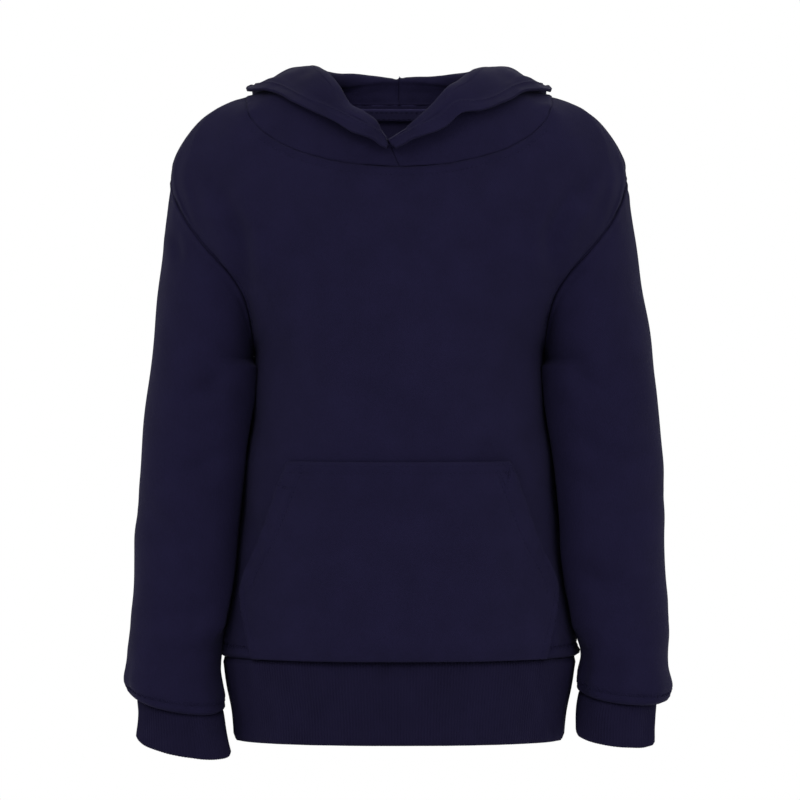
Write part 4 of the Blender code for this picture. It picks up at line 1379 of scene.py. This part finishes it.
def bar_tacks(sheet, pitch):
    """A crossed box of stitches at each upper corner of the pocket."""
    rows, columns = sheet.points.shape[:2]
    both = np.concatenate([sheet.points, sheet.normals], axis=2)
    threads = []
    for first in (True, False):
        across = sheet.from_first if first else sheet.from_last
        corners = []
        low = TACK_SIZE + 4.0
        for inward, down in ((2.2, 2.2), (TACK_SIZE, 2.2), (TACK_SIZE, low), (2.2, low)):
            miss = (across - inward) ** 2 + (sheet.from_top - down) ** 2
            corners.append(both[np.unravel_index(np.argmin(miss), (rows, columns))])
        a, b, c, d = corners
        for start, end in ((a, b), (b, c), (c, d), (d, a), (a, c), (b, d)):
            route = np.array([start + (end - start) * t for t in np.linspace(0.0, 1.0, 9)])
            threads += stitch_row(route, pitch * 0.6, 0.85)
    return threads


def build_hood(side, stage_looks):
    """A hood half: it stands round the neck, turns over and hangs behind as an open pouch."""
    name = "hood_" + side
    sheet = Sheet(hood_half(side), *FINE_HOOD)
    base = sheet.base
    strength, pucker = stage_looks.fold_depth, stage_looks.pucker_depth
    seed = 51 if side == "left" else 52
    low, hem = sheet.from_bottom, sheet.from_top
    folds = 0.9 * strength * waves(base, 46.0, seed) + 0.3 * strength * waves(base, 20.0, seed + 7)
    behind = np.clip((base[:, :, 1] - 10.0) / 40.0, 0.0, 1.0)
    folds += 1.5 * strength * waves(base, 60.0, seed + 3, (1.0, 0.4, 0.7)) * behind
    folds *= np.clip(low / 12.0, 0.0, 1.0) * np.clip(0.35 + hem / 16.0, 0.0, 1.0)
    detail = folds + 0.3 * bump(low, 1.8, 1.7) - 0.25 * rounding(low, 1.6)
    detail -= 0.5 * bump(hem, HOOD_HEM, 1.3)
    centre = sheet.from_last if side == "left" else sheet.from_first
    detail += 0.5 * bump(centre, 2.0, 1.8) - 0.9 * rounding(centre, 1.5)
    detail += 0.5 * pucker * puckers(base, low, 10.0, seed + 4, 8.0)
    detail += 0.35 * pucker * puckers(base, hem, 12.0, seed + 5, 9.0)
    sheet.raise_by(detail)
    pitch = stage_looks.stitch_pitch
    inside = sheet.line("top", HOOD_HEM)
    inside[:, :3] -= inside[:, 3:] * WALL
    inside[:, 3:] *= -1.0
    threads = stitch_row(sheet.line("top", HOOD_HEM), pitch) + stitch_row(inside, pitch)
    threads += stitch_row(sheet.line("last" if side == "left" else "first", 4.6), pitch)
    piece = wall_mesh(name, sheet, WALL, finish_of("navy_fleece"), detail)
    stitching = thread_mesh("stitching_" + name, threads)
    declare(piece, name, sheet)


def build_tape(stage_looks):
    """The tape inside the back of the neck, with two rows of stitches."""
    sheet = Sheet(neck_tape(), *FINE_TAPE)
    detail = -0.3 * rounding(sheet.from_bottom, 1.0) - 0.3 * rounding(sheet.from_top, 1.0)
    sheet.raise_by(-detail)
    inner = []
    for distance in (1.6, 6.4):
        row = sheet.line("bottom", distance)
        row[:, :3] -= row[:, 3:] * TAPE_WALL
        row[:, 3:] *= -1.0
        inner += stitch_row(row, stage_looks.stitch_pitch)
    # the tape's finish is lightened with painted light
    piece = wall_mesh("neck_tape", sheet, TAPE_WALL, finish_of("navy_tape"))
    stitching = thread_mesh("stitching_neck_tape", inner)
    declare(piece, "neck_tape", sheet)


# ---------------------------------------------------------------- stage

CAMERA_DISTANCE = 4.5  # metres
CAMERA_RISE = math.radians(0.8)
FRAMED_WIDTH = 0.508  # metres of the view's width at the garment
FRAME_CENTRE = (0.0006, -0.1955)  # metres, across and up


def build_stage(stage_looks):
    """Pale floor, white surroundings, two soft lights and the camera in front."""
    low, high = CAD_BOX
    floor_level = low[2] - 0.14
    mesh = bpy.data.meshes.new("floor")
    sides, radius = 96, 0.75
    ring_points = [
        (radius * math.cos(turn), radius * math.sin(turn), floor_level)
        for turn in (2.0 * math.pi * k / sides for k in range(sides))
    ]
    mesh.from_pydata(ring_points, [], [tuple(range(sides))])
    pale = bpy.data.materials.new("pale_floor")
    pale.use_nodes = True
    pale.node_tree.nodes["Principled BSDF"].inputs["Base Color"].default_value = (0.86, 0.86, 0.87, 1.0)
    pale.node_tree.nodes["Principled BSDF"].inputs["Roughness"].default_value = 0.9
    mesh.materials.append(pale)
    floor = bpy.data.objects.new("floor", mesh)
    bpy.context.scene.collection.objects.link(floor)
    world = bpy.data.worlds.new("white_studio")
    world.use_nodes = True
    world.node_tree.nodes["Background"].inputs["Color"].default_value = (1.0, 1.0, 1.0, 1.0)
    world.node_tree.nodes["Background"].inputs["Strength"].default_value = 1.0
    bpy.context.scene.world = world
    bpy.context.scene.view_settings.view_transform = "Standard"
    middle = Vector((0.0, 0.0, (low[2] + high[2]) / 2.0))
    for name, place, size, power in (
        ("key_light", (-0.9, -1.9, 1.5), 1.1, stage_looks.key_power),
        ("fill_light", (1.6, -1.5, 0.5), 1.4, stage_looks.key_power * 0.45),
        ("back_light", (0.3, 1.9, 1.2), 1.2, stage_looks.key_power * 0.6),
    ):
        data = bpy.data.lights.new(name, "AREA")
        data.size = size
        data.energy = power
        light = bpy.data.objects.new(name, data)
        light.location = place
        light.rotation_euler = (middle - Vector(place)).to_track_quat("-Z", "Y").to_euler()
        bpy.context.scene.collection.objects.link(light)
    data = bpy.data.cameras.new("camera")
    data.sensor_width = 36.0
    data.lens = data.sensor_width * CAMERA_DISTANCE / FRAMED_WIDTH
    data.clip_end = 20.0
    camera = bpy.data.objects.new("camera", data)
    aim = Vector((FRAME_CENTRE[0], 0.0, FRAME_CENTRE[1]))
    away = Vector((0.0, -math.cos(CAMERA_RISE), math.sin(CAMERA_RISE)))
    camera.location = aim + away * CAMERA_DISTANCE
    camera.rotation_euler = (-away).to_track_quat("-Z", "Y").to_euler()
    bpy.context.scene.collection.objects.link(camera)
    bpy.context.scene.camera = camera


# ---------------------------------------------------------------- add-on


class HoodieLooks(bpy.types.PropertyGroup):
    """Sizes and colours of the hoodie's cloth that a user would change."""

    fleece_colour: bpy.props.FloatVectorProperty(
        name="Fleece", description="Colour of the sweatshirt knit", subtype="COLOR", size=3,
        default=(0.0076, 0.0063, 0.0225), min=0.0, max=1.0,
    )
    # Colour of the inside faces: partly the brushed back's own lighter tone, partly painted light that lifts
    # the shaded inside
    inside_colour_with_painted_light: bpy.props.FloatVectorProperty(
        name="Inside", description="Colour of the brushed inside", subtype="COLOR", size=3,
        default=(0.0200, 0.0170, 0.0520), min=0.0, max=1.0,
    )
    rib_colour: bpy.props.FloatVectorProperty(
        name="Rib", description="Colour of the cuffs and waistband", subtype="COLOR", size=3,
        default=(0.0070, 0.0058, 0.0200), min=0.0, max=1.0,
    )
    # Colour of the neck tape: partly its own tone, partly painted light that lifts it inside the shaded neck
    tape_colour_with_painted_light: bpy.props.FloatVectorProperty(
        name="Tape", description="Colour of the neck tape", subtype="COLOR", size=3,
        default=(0.0240, 0.0210, 0.0600), min=0.0, max=1.0,
    )
    thread_colour: bpy.props.FloatVectorProperty(
        name="Thread", description="Colour of the stitching", subtype="COLOR", size=3,
        default=(0.0092, 0.0080, 0.0270), min=0.0, max=1.0,
    )
    fold_depth: bpy.props.FloatProperty(
        name="Fold Depth", description="Share of the folds' full depth", default=1.0, min=0.0, max=1.5,
        subtype="FACTOR",
    )
    pucker_depth: bpy.props.FloatProperty(
        name="Pucker Depth", description="Share of the gathers' full depth at seams", default=1.0,
        min=0.0, max=1.5, subtype="FACTOR",
    )
    stitch_pitch: bpy.props.FloatProperty(
        name="Stitch Pitch", description="Millimetres from one stitch to the next", default=3.2, min=1.5,
        max=6.0,
    )
    rib_pitch: bpy.props.FloatProperty(
        name="Rib Pitch", description="Millimetres from one rib to the next", default=1.9, min=1.2, max=4.0
    )
    key_power: bpy.props.FloatProperty(
        name="Key Light", description="Watts of the key light", default=16.0, min=0.0, max=500.0
    )


class HOODIE_OT_body(bpy.types.Operator):
    """Build the front and the back"""

    bl_idname = "hoodie.body"
    bl_label = "Front and Back"

    def execute(self, context):
        build_panel("front", -1, context.scene.hoodie_looks)
        build_panel("back", 1, context.scene.hoodie_looks)
        return {"FINISHED"}


class HOODIE_OT_sleeves(bpy.types.Operator):
    """Build the two sleeves"""

    bl_idname = "hoodie.sleeves"
    bl_label = "Sleeves"

    def execute(self, context):
        for side in ("left", "right"):
            build_sleeve(side, context.scene.hoodie_looks)
        return {"FINISHED"}


class HOODIE_OT_ribbing(bpy.types.Operator):
    """Build the cuffs and the waistband in rib knit"""

    bl_idname = "hoodie.ribbing"
    bl_label = "Cuffs and Waistband"

    def execute(self, context):
        looks = context.scene.hoodie_looks
        build_rib("cuff_left", cuff("left"), looks, 61)
        build_rib("cuff_right", cuff("right"), looks, 64)
        build_rib("waistband", waistband(), looks, 67)
        return {"FINISHED"}


class HOODIE_OT_pocket(bpy.types.Operator):
    """Build the kangaroo pocket"""

    bl_idname = "hoodie.pocket"
    bl_label = "Pocket"

    def execute(self, context):
        build_pocket(context.scene.hoodie_looks)
        return {"FINISHED"}


class HOODIE_OT_hood(bpy.types.Operator):
    """Build the two halves of the hood"""

    bl_idname = "hoodie.hood"
    bl_label = "Hood"

    def execute(self, context):
        for side in ("left", "right"):
            build_hood(side, context.scene.hoodie_looks)
        return {"FINISHED"}


class HOODIE_OT_tape(bpy.types.Operator):
    """Build the tape inside the neck"""

    bl_idname = "hoodie.tape"
    bl_label = "Neck Tape"

    def execute(self, context):
        build_tape(context.scene.hoodie_looks)
        return {"FINISHED"}


class HOODIE_OT_stage(bpy.types.Operator):
    """Add the floor, the lights and the camera"""

    bl_idname = "hoodie.stage"
    bl_label = "Stage"

    def execute(self, context):
        build_stage(context.scene.hoodie_looks)
        return {"FINISHED"}


STEPS = (
    HOODIE_OT_body,
    HOODIE_OT_sleeves,
    HOODIE_OT_ribbing,
    HOODIE_OT_pocket,
    HOODIE_OT_hood,
    HOODIE_OT_tape,
    HOODIE_OT_stage,
)


class HOODIE_PT_panel(bpy.types.Panel):
    """Lists the hoodie's sizes and steps"""

    bl_idname = "HOODIE_PT_panel"
    bl_label = "Hoodie"
    bl_space_type = "VIEW_3D"
    bl_region_type = "UI"
    bl_category = "Hoodie"

    def draw(self, context):
        looks = context.scene.hoodie_looks
        for name in HoodieLooks.__annotations__:
            self.layout.prop(looks, name)
        for step in STEPS:
            self.layout.operator(step.bl_idname)


CLASSES = (HoodieLooks,) + STEPS + (HOODIE_PT_panel,)


def register():
    for each in CLASSES:
        bpy.utils.register_class(each)
    bpy.types.Scene.hoodie_looks = bpy.props.PointerProperty(type=HoodieLooks)


def unregister():
    del bpy.types.Scene.hoodie_looks
    for each in reversed(CLASSES):
        bpy.utils.unregister_class(each)


def main():
    register()
    for step in STEPS:
        family, name = step.bl_idname.split(".")
        getattr(getattr(bpy.ops, family), name)()


if __name__ == "__main__":
    main()
